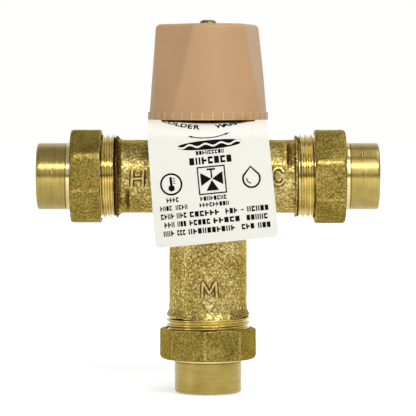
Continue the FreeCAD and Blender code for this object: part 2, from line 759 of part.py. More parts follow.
# ---- wax element, shuttle and return spring -------------------------------------------------------
def wax_element():
    bulb_round = 1.5
    lean = bulb_round * (1 - math.sqrt(0.5))
    low = ELEMENT_BULB_LOW_H
    return lathe(
        (0, low),
        (ELEMENT_BULB_R - bulb_round, low),
        ((ELEMENT_BULB_R - lean, low + lean), (ELEMENT_BULB_R, low + bulb_round)),
        (ELEMENT_BULB_R, 0),
        (ELEMENT_COLLAR_R, 0),
        (ELEMENT_COLLAR_R, ELEMENT_COLLAR_T - 0.5),
        (ELEMENT_COLLAR_R - 0.5, ELEMENT_COLLAR_T),
        (ELEMENT_STEM_R, ELEMENT_COLLAR_T),
        (ELEMENT_STEM_R, ELEMENT_STEM_TOP_H - 0.5),
        (ELEMENT_STEM_R - 0.5, ELEMENT_STEM_TOP_H),
        (PIN_R + SPINDLE_GAP, ELEMENT_STEM_TOP_H),
        (PIN_R + SPINDLE_GAP, ELEMENT_BORE_LOW_H),
        (0, ELEMENT_BORE_LOW_H),
    )


def shuttle():
    ring_half = SHUTTLE_RING_R + 0.05
    groove_r = LAND_R - 2 * SHUTTLE_RING_R - 0.05
    shell = lathe(
        (SHUTTLE_INNER_R, -SHUTTLE_HALF),
        (SHUTTLE_R, -SHUTTLE_HALF),
        (SHUTTLE_R, SHUTTLE_RING_H - ring_half),
        (groove_r, SHUTTLE_RING_H - ring_half),
        (groove_r, SHUTTLE_RING_H + ring_half),
        (SHUTTLE_R, SHUTTLE_RING_H + ring_half),
        (SHUTTLE_R, SHUTTLE_HALF),
        (SHUTTLE_INNER_R, SHUTTLE_HALF),
        (SHUTTLE_INNER_R, SHUTTLE_BAND_TOP_H),
        (SHUTTLE_BAND_R, SHUTTLE_BAND_TOP_H),
        (SHUTTLE_BAND_R, -SHUTTLE_HUB_T),
        (SHUTTLE_INNER_R, -SHUTTLE_HUB_T),
    )
    spoke_length = (SHUTTLE_BAND_R + SHUTTLE_INNER_R) / 2
    spoke = Part.makeBox(
        spoke_length,
        SHUTTLE_SPOKE,
        SHUTTLE_HUB_T,
        FreeCAD.Vector(0, -SHUTTLE_SPOKE / 2, -SHUTTLE_HUB_T),
    )
    hub = disc(SHUTTLE_HUB_R, -SHUTTLE_HUB_T, 0)
    bulb_hole = disc(ELEMENT_BULB_R + HUB_GAP, -SHUTTLE_HUB_T, 0)
    return shell.fuse([hub] + around(spoke, SHUTTLE_SPOKE_COUNT, 45.0)).cut(bulb_hole).removeSplitter()


def shuttle_o_ring():
    return o_ring(LAND_R - 0.03 - SHUTTLE_RING_R, SHUTTLE_RING_R, SHUTTLE_RING_H)


def return_spring():
    return coil(RETURN_SPRING_R, RETURN_WIRE_R, SPRING_LEDGE_H, -SHUTTLE_HUB_T, RETURN_TURNS)


# ---- cap ------------------------------------------------------------------------------------------
def cap_core(inset, top_h):
    """The cap's tapered body with its flats, drawn in by inset on every side."""
    low_h = CAP_RIM_TOP_H if inset == 0 else CAP_RIM_LOW_H
    rise = CAP_TOP_H - CAP_RIM_TOP_H

    def taper(at_rim, at_top, height):
        return at_rim + (at_top - at_rim) * (height - CAP_RIM_TOP_H) / rise - inset

    core = lathe(
        (0, low_h),
        (taper(CAP_LOW_R, CAP_TOP_R, low_h), low_h),
        (taper(CAP_LOW_R, CAP_TOP_R, top_h), top_h),
        (0, top_h),
    ).rotated(ORIGIN, UP, CAP_TURN - 90.0)
    flat_low = taper(CAP_FLAT_LOW, CAP_FLAT_TOP, low_h)
    flat_top = taper(CAP_FLAT_LOW, CAP_FLAT_TOP, top_h)
    reach = 2 * CAP_LOW_R
    beyond = outline((flat_low, low_h), (reach, low_h), (reach, top_h), (flat_top, top_h))
    slab = beyond.extrude(ALONG_Y * 2 * reach).translated(ALONG_Y * -reach)
    first_flat = CAP_TURN - 90.0 + 180.0 / CAP_FLATS
    return core.cut(around(slab, CAP_FLATS, first_flat))


def cap():
    body = cap_core(0, CAP_TOP_H)
    body = body.makeFillet(CAP_TOP_ROUND, [e for e in body.Edges if e.BoundBox.ZMin > CAP_TOP_H - 1e-6])
    rim = disc(CAP_RIM_R, CAP_RIM_LOW_H, CAP_RIM_TOP_H)
    rib = Part.makeBox(
        1.0,
        CAP_RIB_WIDTH,
        CAP_RIM_TOP_H - CAP_RIM_LOW_H,
        FreeCAD.Vector(CAP_RIM_R + CAP_RIB_HEIGHT - 1.0, -CAP_RIB_WIDTH / 2, CAP_RIM_LOW_H),
    )
    shell = body.fuse([rim] + around(rib, CAP_RIB_COUNT, CAP_RIB_TURN - 90.0))
    ceiling = CAP_TOP_H - CAP_WALL
    hollow = cap_core(CAP_WALL, ceiling)
    shell = shell.cut(hollow).removeSplitter()
    web = Part.makeBox(
        CAP_LOW_R,
        CAP_WEB_T,
        CAP_TOP_H - CAP_WALL / 2 - CAP_HUB_LOW_H - CAP_WEB_RISE,
        FreeCAD.Vector(0, -CAP_WEB_T / 2, CAP_HUB_LOW_H + CAP_WEB_RISE),
    )
    inner = cap_core(CAP_WALL / 2, CAP_TOP_H - CAP_WALL / 2)
    webs = [w.common(inner) for w in around(web, CAP_WEB_COUNT, CAP_TURN)]
    hub = disc(CAP_HUB_R, CAP_HUB_LOW_H, CAP_TOP_H - CAP_WALL / 2)
    socket = spline_prism(
        SPLINE_ROOT_R + SPLINE_GAP, SPLINE_TIP_R + SPLINE_GAP, CAP_HUB_LOW_H, ceiling
    )
    screw_hole = disc(SCREW_CLEARANCE_R, CAP_HUB_LOW_H, CAP_TOP_H)
    return shell.fuse(webs + [hub]).cut([socket, screw_hole]).removeSplitter()


def cap_screw():
    edge_h = CAP_TOP_H + SCREW_HEAD_EDGE
    top_h = CAP_TOP_H + SCREW_HEAD_T
    crown_r = SCREW_HEAD_R * 0.55
    screw = lathe(
        (0, SCREW_LOW_H),
        (SCREW_R - 0.5, SCREW_LOW_H),
        (SCREW_R, SCREW_LOW_H + 0.5),
        (SCREW_R, CAP_TOP_H),
        (SCREW_HEAD_R, CAP_TOP_H),
        (SCREW_HEAD_R, edge_h),
        ((SCREW_HEAD_R * 0.84, top_h - 0.35), (crown_r, top_h)),
        (0, top_h),
    )
    slot = Part.makeBox(
        SCREW_SLOT_LENGTH,
        SCREW_SLOT_WIDTH,
        SCREW_SLOT_DEPTH,
        FreeCAD.Vector(-SCREW_SLOT_LENGTH / 2, -SCREW_SLOT_WIDTH / 2, top_h - SCREW_SLOT_DEPTH),
    )
    return screw.cut(around(slot, 4))


# ---- label tag ------------------------------------------------------------------------------------
def tag_sheet():
    """Bent strip, wider than the tag, that the tag is cut from."""
    top = BONNET_SEAT_H
    bend_y = TAG_FRONT - TAG_BEND_R
    bend_z = top - TAG_BEND_R
    inner = TAG_BEND_R - TAG_T
    half = math.sqrt(0.5)
    low = top - TAG_DROP - TAG_BEND_R
    strip = outline(
        (0, top - TAG_T),
        (bend_y, top - TAG_T),
        ((bend_y + inner * half, bend_z + inner * half), (TAG_FRONT - TAG_T, bend_z)),
        (TAG_FRONT - TAG_T, low),
        (TAG_FRONT, low),
        (TAG_FRONT, bend_z),
        ((bend_y + TAG_BEND_R * half, bend_z + TAG_BEND_R * half), (bend_y, top)),
        (0, top),
    )
    width = 2 * TAG_WIDTH
    return strip.extrude(ALONG_Y * width).translated(ALONG_Y * (-width / 2)).rotated(ORIGIN, UP, -90)


def tag_outline():
    """Prism along Y with the tag's outline as seen from the front, tilted as it hangs."""
    half = TAG_WIDTH / 2
    top = BONNET_SEAT_H
    low = top - TAG_DROP
    lean = TAG_CORNER_R * (1 - math.sqrt(0.5))
    face = outline(
        (TAG_SHIFT - half, top + TAG_BEND_R),
        (TAG_SHIFT - half, low + TAG_CORNER_R),
        (
            (TAG_SHIFT - half + lean, low + lean),
            (TAG_SHIFT - half + TAG_CORNER_R, low),
        ),
        (TAG_SHIFT + half - TAG_CORNER_R, low),
        (
            (TAG_SHIFT + half - lean, low + lean),
            (TAG_SHIFT + half, low + TAG_CORNER_R),
        ),
        (TAG_SHIFT + half, top + TAG_BEND_R),
    )
    prism = face.extrude(ALONG_Y * -2 * TAG_FRONT)
    return prism.rotated(FreeCAD.Vector(TAG_SHIFT, 0, top), ALONG_Y, -TAG_TILT)


def label_tag():
    bend_y = TAG_FRONT - TAG_BEND_R
    top = BONNET_SEAT_H
    hanging_zone = Part.makeBox(
        4 * TAG_WIDTH,
        2 * TAG_BEND_R,
        4 * TAG_DROP,
        FreeCAD.Vector(-2 * TAG_WIDTH, -bend_y - 2 * TAG_BEND_R, -2 * TAG_DROP),
    )
    hanging = tag_sheet().common(tag_outline()).common(hanging_zone)
    deck = Part.makeBox(
        TAG_WIDTH, bend_y, TAG_T, FreeCAD.Vector(TAG_SHIFT - TAG_WIDTH / 2, -bend_y, top - TAG_T)
    )
    back = disc(TAG_BACK_R, top - TAG_T, top)
    hole = disc(SPIGOT_R + TAG_HOLE_GAP, top - TAG_T, top)
    return hanging.fuse([deck, back]).cut(hole).removeSplitter()


# ---- all pieces -----------------------------------------------------------------------------------
def build():
    """Every piece in the part's own frame, by node name."""
    pieces = {
        "valve_body": in_valve(valve_body()),
        "bonnet": in_valve(bonnet()),
        "bonnet_o_ring": in_valve(bonnet_o_ring()),
        "spindle": in_valve(spindle()),
        "spindle_thrust_washer": in_valve(thrust_washer()),
        "spindle_circlip": in_valve(spindle_circlip()),
        "setting_nut": in_valve(setting_nut()),
        "overload_snap_ring": in_valve(overload_snap_ring()),
        "overload_spring": in_valve(overload_spring()),
        "overload_plunger": in_valve(overload_plunger()),
        "push_pin": in_valve(push_pin()),
        "wax_element": in_valve(wax_element()),
        "shuttle": in_valve(shuttle()),
        "shuttle_o_ring": in_valve(shuttle_o_ring()),
        "return_spring": in_valve(return_spring()),
        "cap": in_valve(cap()),
        "cap_screw": in_valve(cap_screw()),
        "label_tag": in_valve(label_tag()),
    }
    for name, rise in STEM_RING_RISES.items():
        pieces[name] = in_valve(spindle_o_ring(COLLAR_POCKET_TOP_H + rise))
    for port, (_, _, _, nut_turn) in PORTS.items():
        pieces[port + "_tail"] = at_port(tail(), port)
        pieces[port + "_union_nut"] = at_port(union_nut(nut_turn), port)
        pieces[port + "_slip_ring"] = at_port(slip_ring(), port)
        pieces[port + "_gasket"] = at_port(gasket(), port)
    for port in ("hot", "cold"):
        pieces[port + "_screen"] = at_port(screen(), port)
        pieces[port + "_check_housing"] = at_port(check_housing(), port)
        pieces[port + "_check_o_ring"] = at_port(check_o_ring(), port)
        pieces[port + "_check_poppet"] = at_port(check_poppet(), port)
        pieces[port + "_check_seal"] = at_port(check_seal(), port)
        pieces[port + "_check_spring"] = at_port(check_spring(), port)
    return pieces


def main():
    os.makedirs("parts", exist_ok=True)
    for name, shape in build().items():
        solids = Part.Compound(shape.Solids) if len(shape.Solids) > 1 else shape.Solids[0]
        if not solids.isValid():
            raise ValueError(name + " is not a valid solid")
        solids.exportStep(os.path.join("parts", name + ".step"))
        print(name, len(shape.Solids), "solid", round(solids.Volume, 1), "mm3")


main()
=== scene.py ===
import json
import math
from contextlib import contextmanager

import bmesh
import bpy
import numpy as np
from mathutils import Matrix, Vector

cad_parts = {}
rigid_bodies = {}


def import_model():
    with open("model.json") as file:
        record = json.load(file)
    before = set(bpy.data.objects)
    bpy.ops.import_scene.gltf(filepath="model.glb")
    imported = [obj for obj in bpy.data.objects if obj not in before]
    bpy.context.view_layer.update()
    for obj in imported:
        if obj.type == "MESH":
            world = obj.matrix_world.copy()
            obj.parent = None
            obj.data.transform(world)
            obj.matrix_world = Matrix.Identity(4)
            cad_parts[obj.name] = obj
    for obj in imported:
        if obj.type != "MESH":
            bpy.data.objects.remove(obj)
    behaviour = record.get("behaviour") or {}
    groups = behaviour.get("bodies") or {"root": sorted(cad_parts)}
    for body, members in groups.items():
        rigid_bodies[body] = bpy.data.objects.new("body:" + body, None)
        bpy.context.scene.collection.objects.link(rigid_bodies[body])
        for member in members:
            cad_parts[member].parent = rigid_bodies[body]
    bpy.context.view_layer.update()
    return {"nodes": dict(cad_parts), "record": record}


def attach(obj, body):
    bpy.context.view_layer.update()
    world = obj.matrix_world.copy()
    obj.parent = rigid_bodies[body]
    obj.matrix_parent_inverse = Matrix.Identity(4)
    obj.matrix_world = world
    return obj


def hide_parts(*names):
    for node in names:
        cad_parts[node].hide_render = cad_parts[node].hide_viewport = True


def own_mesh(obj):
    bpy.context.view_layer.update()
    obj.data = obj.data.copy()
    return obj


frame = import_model()
NODES = frame["nodes"]
SLOTS = {s["node"]: s["material_slot"] for s in frame["record"]["subparts"]}

# Sizes are in mm unless a comment says metres.
MM = 0.001
AXIS_Z = 85.3  # height of the inlet axis
INLET_FACE = 47.2  # valve axis to the face of an inlet
OUTLET_FACE = 64.5  # inlet axis to the face of the outlet
THREAD_START = -11.1  # port coordinate where the threads meet the cast skin
PITCH = 2.0
BORE_R = 11.02
random = np.random.default_rng(11)


# ---- numbers and noise ----
def smooth(x, low, high):
    t = np.clip((x - low) / (high - low), 0, 1)
    return t * t * (3 - 2 * t)


def soft_min(a, b, k):
    return -k * np.logaddexp(-a / k, -b / k)


def lattice(p, seed):
    base = np.floor(p).astype(np.int64)
    f = p - base
    f = f * f * (3 - 2 * f)
    total = np.zeros(len(p))
    for corner in range(8):
        step = np.array([corner & 1, corner >> 1 & 1, corner >> 2 & 1])
        c = base + step
        n = c[:, 0] * 374761393 + c[:, 1] * 668265263 + c[:, 2] * 974634777 + seed * 40503321
        n = (n ^ (n >> 13)) * 1274126177 & 0x7FFFFFFF
        n = (n ^ (n >> 16)) & 0xFFFF
        total += np.prod(np.where(step, f, 1 - f), axis=1) * (n / 32767.5 - 1)
    return total


def noise(points, size, seed=0):
    """Smooth noise from -1 to 1 at (n, 3) points, with lumps of about size."""
    return 0.65 * lattice(points / size, seed) + 0.35 * lattice(points / size * 2.13 + 7.7, seed + 5)


# ---- meshes ----
@contextmanager
def editing(mesh, source=None):
    """A bmesh of mesh, or of source, that is written to mesh at the end."""
    b = bmesh.new()
    b.from_mesh(source or mesh)
    yield b
    b.to_mesh(mesh)
    b.free()


def add_object(name, data):
    obj = bpy.data.objects.new(name, data)
    bpy.context.scene.collection.objects.link(obj)
    return obj


def new_object(name, points, faces, material, sharp):
    """An object from points in metres, smooth but for edges over sharp degrees."""
    mesh = bpy.data.meshes.new(name)
    mesh.from_pydata(np.asarray(points, float).reshape(-1, 3).tolist(), [], faces)
    mesh.materials.append(material)
    with editing(mesh) as b:
        bmesh.ops.recalc_face_normals(b, faces=b.faces)
    mesh.shade_smooth()
    mesh.set_sharp_from_angle(angle=math.radians(sharp))
    return add_object(name, mesh)


def second_material(piece, material, mask):
    """Another material on the faces that a mask picks."""
    piece.data.materials.append(material)
    piece.data.polygons.foreach_set("material_index", mask.astype(int).ravel())


def grid_faces(rows, columns, wrap_rows=True, wrap_columns=True, first=0):
    index = np.arange(rows * columns).reshape(rows, columns) + first
    if wrap_rows:
        index = np.vstack([index, index[:1]])
    if wrap_columns:
        index = np.hstack([index, index[:, :1]])
    quads = np.stack([index[:-1, :-1], index[1:, :-1], index[1:, 1:], index[:-1, 1:]], axis=-1)
    return quads.reshape(-1, 4).tolist()


def joined(objects):
    """One object from several, the first one's name kept."""
    bpy.ops.object.select_all(action="DESELECT")
    for o in objects:
        o.select_set(True)
    bpy.context.view_layer.objects.active = objects[0]
    bpy.ops.object.join()
    return objects[0]


def vectors(items, key="co"):
    values = np.empty(len(items) * 3)
    items.foreach_get(key, values)
    return values.reshape(-1, 3)


class Port:
    """Frame of a port: s outward from its face, r from its axis, angle from the camera's side."""

    def __init__(self, face, out):
        self.face = np.array(face, float)
        self.out = np.array(out, float)
        self.front = np.array([0.0, -1.0, 0.0])
        self.side = np.cross(self.out, self.front)

    def at(self, s, r, angle):
        s, r, angle = np.broadcast_arrays(s, r, angle)
        return (
            self.face
            + s[..., None] * self.out
            + (r * np.cos(angle))[..., None] * self.front
            + (r * np.sin(angle))[..., None] * self.side
        ) * MM


PORTS = {
    "hot": Port((-INLET_FACE, 0, AXIS_Z), (-1, 0, 0)),
    "cold": Port((INLET_FACE, 0, AXIS_Z), (1, 0, 0)),
    "outlet": Port((0, 0, AXIS_Z - OUTLET_FACE), (0, 0, -1)),
}
ROUND_STEPS = 192


def turn_angles(count):
    return np.arange(count) * (2 * math.pi / count)


def about_valve(r, angle, z):
    """Points at a radius and angle round the valve's axis."""
    return np.stack([r * np.cos(angle), r * np.sin(angle), z + 0 * r], axis=-1)


def spaced(start, end, count):
    return np.linspace(start, end, count).tolist()


# ---- materials ----
class Nodes:
    """A node tree with a few short ways to add nodes."""

    def __init__(self, tree):
        self.tree = tree

    def add(self, kind, inputs=(), **settings):
        node = self.tree.nodes.new("ShaderNode" + kind)
        for key, value in settings.items():
            setattr(node, key, value)
        for key, value in dict(inputs).items():
            self.put(node.inputs[key], value)
        return node

    def put(self, socket, value):
        if isinstance(value, bpy.types.NodeSocket):
            self.tree.links.new(value, socket)
        else:
            socket.default_value = value

    def ramp(self, value, *stops):
        """Colours or greys over a value: (position, colour) pairs."""
        node = self.add("ValToRGB", {"Fac": value})
        band = node.color_ramp
        while len(band.elements) < len(stops):
            band.elements.new(0.5)
        for element, (position, colour) in zip(band.elements, stops):
            element.position = position
            element.color = (*colour, 1) if isinstance(colour, tuple) else (colour, colour, colour, 1)
        return node.outputs["Color"]

    def math(self, operation, a, b=0.5):
        return self.add("Math", {0: a, 1: b}, operation=operation).outputs[0]


class Shader(Nodes):
    """A node material with the object's own coordinates and a Principled surface."""

    def __init__(self, name):
        self.material = bpy.data.materials.new(name)
        self.material.use_nodes = True
        super().__init__(self.material.node_tree)
        self.main = self.tree.nodes["Principled BSDF"]
        self.place = self.add("TexCoord").outputs["Object"]

    def set(self, **values):
        for key, value in values.items():
            self.put(self.main.inputs[key.replace("_", " ")], value)

    def stretched(self, scale):
        return self.add("Mapping", {"Vector": self.place, "Scale": scale}).outputs[0]

    def noise(self, scale, detail=3.0, rough=0.55, vector=None):
        inputs = {"Vector": vector or self.place, "Scale": scale, "Detail": detail, "Roughness": rough}
        return self.add("TexNoise", inputs).outputs["Fac"]

    def mix(self, factor, a, b, blend="MIX"):
        return self.add("Mix", {0: factor, 6: a, 7: b}, data_type="RGBA", blend_type=blend).outputs[2]

    def band(self, value, centre, half):
        """1 near centre, falling to 0 just past half on either side."""
        away = self.math("ABSOLUTE", self.math("SUBTRACT", value, centre))
        fall = {"From Min": half * 0.6, "From Max": half * 1.2, "To Min": 1.0, "To Max": 0.0}
        return self.add("MapRange", {"Value": away, **fall}).outputs["Result"]

    def bump(self, *layers):
        """Bumps on one another: (height, distance in metres) pairs."""
        normal = None
        for height, distance in layers:
            node = self.add("Bump", {"Height": height, "Distance": distance, "Strength": 1.0})
            if normal:
                self.put(node.inputs["Normal"], normal)
            normal = node.outputs["Normal"]
        self.set(Normal=normal)


def srgb(*levels):
    """A linear colour from levels of 0 to 255."""
    shares = [level / 255 for level in levels]
    return tuple(c / 12.92 if c <= 0.04045 else ((c + 0.055) / 1.055) ** 2.4 for c in shares)


SHADE_START = 0.0347  # metres from the valve axis, along the arms
SHADE_FULL = 0.0352
PAD_CREASES = ((-31.3, -9.3), (31.4, 8.8))  # x, and height above the inlet axis
# dark brown painted as shade in the recesses at the skin's ends and in the pads' creases
SHADE_BROWN = srgb(66, 46, 22)


def crease_and_end_shade(m):
    """How much dark brown is painted as shade where the skin ends at the threads, and in the pads' creases.
    """
    axes = m.add("SeparateXYZ", {"Vector": m.place}).outputs
    ragged = m.math("MULTIPLY", m.math("SUBTRACT", m.noise(700.0, 2.0), 0.5), 0.0016)
    across = m.math("ADD", m.math("ABSOLUTE", axes["X"]), ragged)
    # a ramp's stops lie between 0 and 1, so ten times the distance in metres goes in
    at_ends = m.ramp(m.math("MULTIPLY", across, 10.0), (10 * SHADE_START, 0.0), (10 * SHADE_FULL, 1.0))
    amount = m.math("MULTIPLY", at_ends, 0.9)
    at_crease = m.math("ADD", axes["X"], m.math("MULTIPLY", ragged, 0.5))
    front = m.math("LESS_THAN", axes["Y"], 0.0)
    for x, h in PAD_CREASES:
        crease = m.math("MULTIPLY", m.band(at_crease, x * MM, 0.0007), front)
        crease = m.math("MULTIPLY", crease, m.band(axes["Z"], (AXIS_Z + h) * MM, 0.0042))
        amount = m.math("MAXIMUM", amount, m.math("MULTIPLY", crease, 0.85))
    return amount


def rough_brass(name, dark, middle, light, rough, grain, depth, end_shade=False):
    """Cast or forged brass: blasted grain, painted shade in crevices, worn high spots lightened with a
    painted highlight, and slow stains.
    """
    m = Shader(name)
    dark, middle, light = srgb(*dark), srgb(*middle), srgb(*light)
    speck = m.noise(grain, 4.0, 0.62)
    stain = m.noise(95.0, 3.0)
    fine = m.noise(grain * 2.7, 2.0)
    tone = m.math("ADD", m.math("MULTIPLY", speck, 0.75), m.math("MULTIPLY", stain, 0.25))
    colour = m.ramp(tone, (0.36, dark), (0.5, middle), (0.64, light))
    # crevices are darkened as painted shade; high spots are lightened as worn brass with a painted highlight
    edge = m.add("NewGeometry").outputs["Pointiness"]
    crevice_shade = m.ramp(edge, (0.40, 0.12), (0.475, 1.0))
    colour = m.mix(1.0, colour, crevice_shade, "MULTIPLY")
    worn_and_lit = m.ramp(edge, (0.53, 0.0), (0.62, 1.0))
    colour = m.mix(m.math("MULTIPLY", worn_and_lit, 0.5), colour, (*light, 1))
    # painted shade where the skin ends at the threads and in the pads' creases
    if end_shade:
        colour = m.mix(crease_and_end_shade(m), colour, (*SHADE_BROWN, 1))
    m.set(Base_Color=colour, Metallic=1.0)
    m.set(Roughness=m.ramp(speck, (0.35, rough + 0.1), (0.65, rough - 0.06)))
    m.set(Specular_Tint=(0.76, 0.66, 0.42, 1))
    m.bump((m.noise(grain * 0.45, 2.0), depth * 1.5), (speck, depth), (fine, depth * 0.35))
    return m.material


def turned_brass(name, along, light, dark, rough, scratch):
    """Machined brass with fine tool lines round the axis."""
    m = Shader(name)
    around = [60.0, 60.0, 60.0]
    around[along] = 5200.0
    lines = m.noise(1.0, 4.0, 0.7, m.stretched(around))
    around[along] = 900.0
    broad = m.noise(1.0, 3.0, 0.6, m.stretched(around))
    cloud = m.noise(140.0, 3.0)
    speck = m.noise(1500.0, 2.0)
    tone = m.math("ADD", m.math("MULTIPLY", cloud, 0.45), m.math("MULTIPLY", broad, 0.35))
    tone = m.math("ADD", tone, m.math("MULTIPLY", speck, 0.2))
    m.set(Base_Color=m.ramp(tone, (0.36, srgb(*dark)), (0.62, srgb(*light))), Metallic=1.0)
    m.set(Roughness=m.ramp(lines, (0.3, rough - 0.06), (0.7, rough + 0.08)))
    m.set(Coat_Weight=0.15, Coat_Roughness=0.1)
    m.bump((lines, scratch), (speck, scratch * 0.5))
    return m.material


def plastic(name, colour, shade, rough, grain, depth, specular=0.5):
    m = Shader(name)
    cloud = m.noise(45.0, 3.0)
    fine = m.noise(grain, 3.0)
    m.set(Base_Color=m.ramp(cloud, (0.3, srgb(*shade)), (0.7, srgb(*colour))))
    m.set(Roughness=m.ramp(fine, (0.3, rough - 0.05), (0.7, rough + 0.07)))
    m.set(IOR=1.46, Specular_IOR_Level=specular)
    m.bump((fine, depth))
    return m.material


# the casting's brass carries painted shade where its skin ends and in the pads' creases
CAST = rough_brass("cast_brass", (96, 77, 34), (156, 135, 68), (216, 200, 140), 0.29, 1150.0, 0.00011, True)
# a lighter copy of the cast brass: painted highlight on the raised letters
LETTER_HIGHLIGHT = rough_brass("letter_highlight_brass", (128, 106, 54), (182, 160, 94), (220, 204, 146), 0.36, 1100.0, 0.00006)
FORGED = rough_brass("forged_nut_brass", (79, 64, 26), (131, 113, 52), (172, 153, 82), 0.38, 1300.0, 0.00009)
# lighter brass for the nuts' corners and rims: worn brass with a painted highlight
EDGE_WEAR_AND_HIGHLIGHT = rough_brass("nut_edge_wear_and_highlight", (118, 98, 46), (154, 134, 70), (192, 174, 106), 0.35, 1300.0, 0.00005)
TAIL_X = turned_brass("tail_brass_x", 0, (172, 151, 86), (144, 124, 62), 0.22, 0.000010)
TAIL_Z = turned_brass("tail_brass_z", 2, (174, 153, 84), (152, 131, 64), 0.27, 0.000010)
RIM = turned_brass("tail_collar_brass", 0, (222, 208, 160), (196, 178, 118), 0.12, 0.000003)
THREAD_X = turned_brass("thread_brass_x", 0, (218, 200, 130), (184, 161, 90), 0.11, 0.000003)
THREAD_Z = turned_brass("thread_brass_z", 2, (206, 186, 112), (174, 151, 80), 0.16, 0.000005)
INNER = turned_brass("inner_brass", 2, (216, 188, 112), (188, 156, 84), 0.28, 0.000008)
STEEL = turned_brass("stainless", 2, (205, 206, 208), (160, 161, 164), 0.28, 0.000006)
# dark brown painted as shade in the thread's run-out groove and in the letters' outlines
GROOVE_SHADE = rough_brass("relief_groove_painted_shade", (44, 28, 13), (76, 53, 25), (120, 94, 46), 0.5, 1400.0, 0.0001)
CAP = plastic("cap_plastic", (191, 152, 109), (186, 147, 105), 0.42, 2600.0, 0.000012)
# lighter plastic as a painted highlight on the rim's ribs and lower edge
CAP_RIB_HIGHLIGHT = plastic("cap_rib_painted_highlight", (220, 186, 139), (214, 178, 131), 0.4, 2600.0, 0.000008)
TAG = plastic("tag_plastic", (239, 238, 228), (237, 236, 225), 0.45, 1500.0, 0.00001)
INK = plastic("tag_ink", (20, 18, 18), (12, 11, 11), 0.6, 2500.0, 0.000006, specular=0.05)
POM = plastic("moulded_white", (232, 232, 224), (222, 222, 212), 0.4, 1800.0, 0.00001)
RUBBER = plastic("black_rubber", (30, 30, 31), (20, 20, 21), 0.55, 2200.0, 0.00002)
FIBRE = plastic("red_fibre", (150, 74, 50), (112, 50, 34), 0.7, 1200.0, 0.00004)
SCREW = rough_brass("screw_brass", (70, 66, 40), (122, 116, 78), (176, 168, 120), 0.42, 1300.0, 0.00003)
# near-black brass painted on the bonnet as the shade under the cap
BONNET_SHADE = rough_brass("bonnet_painted_shade", (34, 22, 14), (62, 42, 26), (96, 70, 40), 0.5, 900.0, 0.00004)

BY_SLOT = {
    "cast_bronze": CAST,
    "forged_brass": SCREW,
    "turned_brass": TAIL_X,
    "inner_brass": INNER,
    "cap_plastic": CAP,
    "tag_plastic": TAG,
    "inner_plastic": POM,
    "black_rubber": RUBBER,
    "fibre": FIBRE,
    "steel": STEEL,
}
# the bonnet gets near-black brass as painted shade under the cap
for node, obj in NODES.items():
    obj.data.materials.clear()
    obj.data.materials.append(BONNET_SHADE if node == "bonnet" else BY_SLOT[SLOTS[node]])


def closing_spring(node, body):
    """A copy of a spring's mesh in place of its solid, carried by body."""
    source = NODES[node]
    mesh = source.data.copy()
    mesh.transform(source.matrix_world)
    piece = add_object(node + "_coils", mesh)
    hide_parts(node)
    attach(piece, body)
    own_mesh(piece)


closing_spring("overload_spring", "setting_nut")
for port, side in (("hot", -1), ("cold", 1)):
    closing_spring(port + "_check_spring", "valve")


# ---- port threads ----
THREAD_ROOT_R = 15.53
THREAD_DEPTH = 1.02
GROOVE_DEPTH = 0.35


def thread_piece(port, material, start):
    """Screw thread of a port, with its run-out groove at start, on the casting."""
    place = PORTS[port]
    angle = turn_angles(ROUND_STEPS)
    s = np.linspace(min(THREAD_START, start - 0.2), 0.0, 118)[:, None]
    phase = (s + 0.4 - PITCH * angle / (2 * math.pi)) / PITCH
    saw = np.abs((phase % 1.0) - 0.5) * 2  # 1 at a crest, 0 at a root
    ridge = smooth(saw, 0.08, 0.93)
    depth = THREAD_DEPTH * smooth(s, start, start + 0.8) * (1 - smooth(s, -1.0, -0.05))
    groove = GROOVE_DEPTH * (1 - smooth(s, start, start + 0.6))
    wobble = 0.05 * noise(place.at(s, 16.0, angle).reshape(-1, 3) / MM, 5.0, 3).reshape(ridge.shape)
    r = THREAD_ROOT_R + depth * ridge - groove + wobble * smooth(-s, 0, 11)
    s_rows = np.broadcast_to(s, r.shape)
    bore = np.full((1, len(angle)), BORE_R)
    r = np.vstack([r, bore + 0.4, bore, bore, bore + 0.2])
    ends = np.array([[0.0], [-0.4], [-6.0], [s[0, 0]]])
    s_rows = np.vstack([s_rows, np.broadcast_to(ends, (len(ends), len(angle)))])
    faces = grid_faces(len(s_rows), len(angle))
    piece = new_object(port + "_port_thread", place.at(s_rows, r, angle), faces, material, 60.0)
    # the run-out groove is painted dark as shade
    second_material(piece, GROOVE_SHADE, np.repeat(s_rows[:, 0] < start + 0.4, len(angle)))
    return piece


# ---- casting ----
ARM_R = 14.4
NECK_R = 15.3


def arm_point(x, h, lift):
    """A point on the front of the arms, lift above the barrel."""
    angle = math.asin(np.clip(h / ARM_R, -0.98, 0.98))
    r = ARM_R + lift
    return (x, -r * math.cos(angle), AXIS_Z + r * math.sin(angle))


def neck_point(x, h, lift):
    """A point on the front of the neck, lift above its skin."""
    angle = math.asin(np.clip(x / NECK_R, -0.98, 0.98))
    r = NECK_R + lift
    return (r * math.sin(angle), -r * math.cos(angle), AXIS_Z + h)


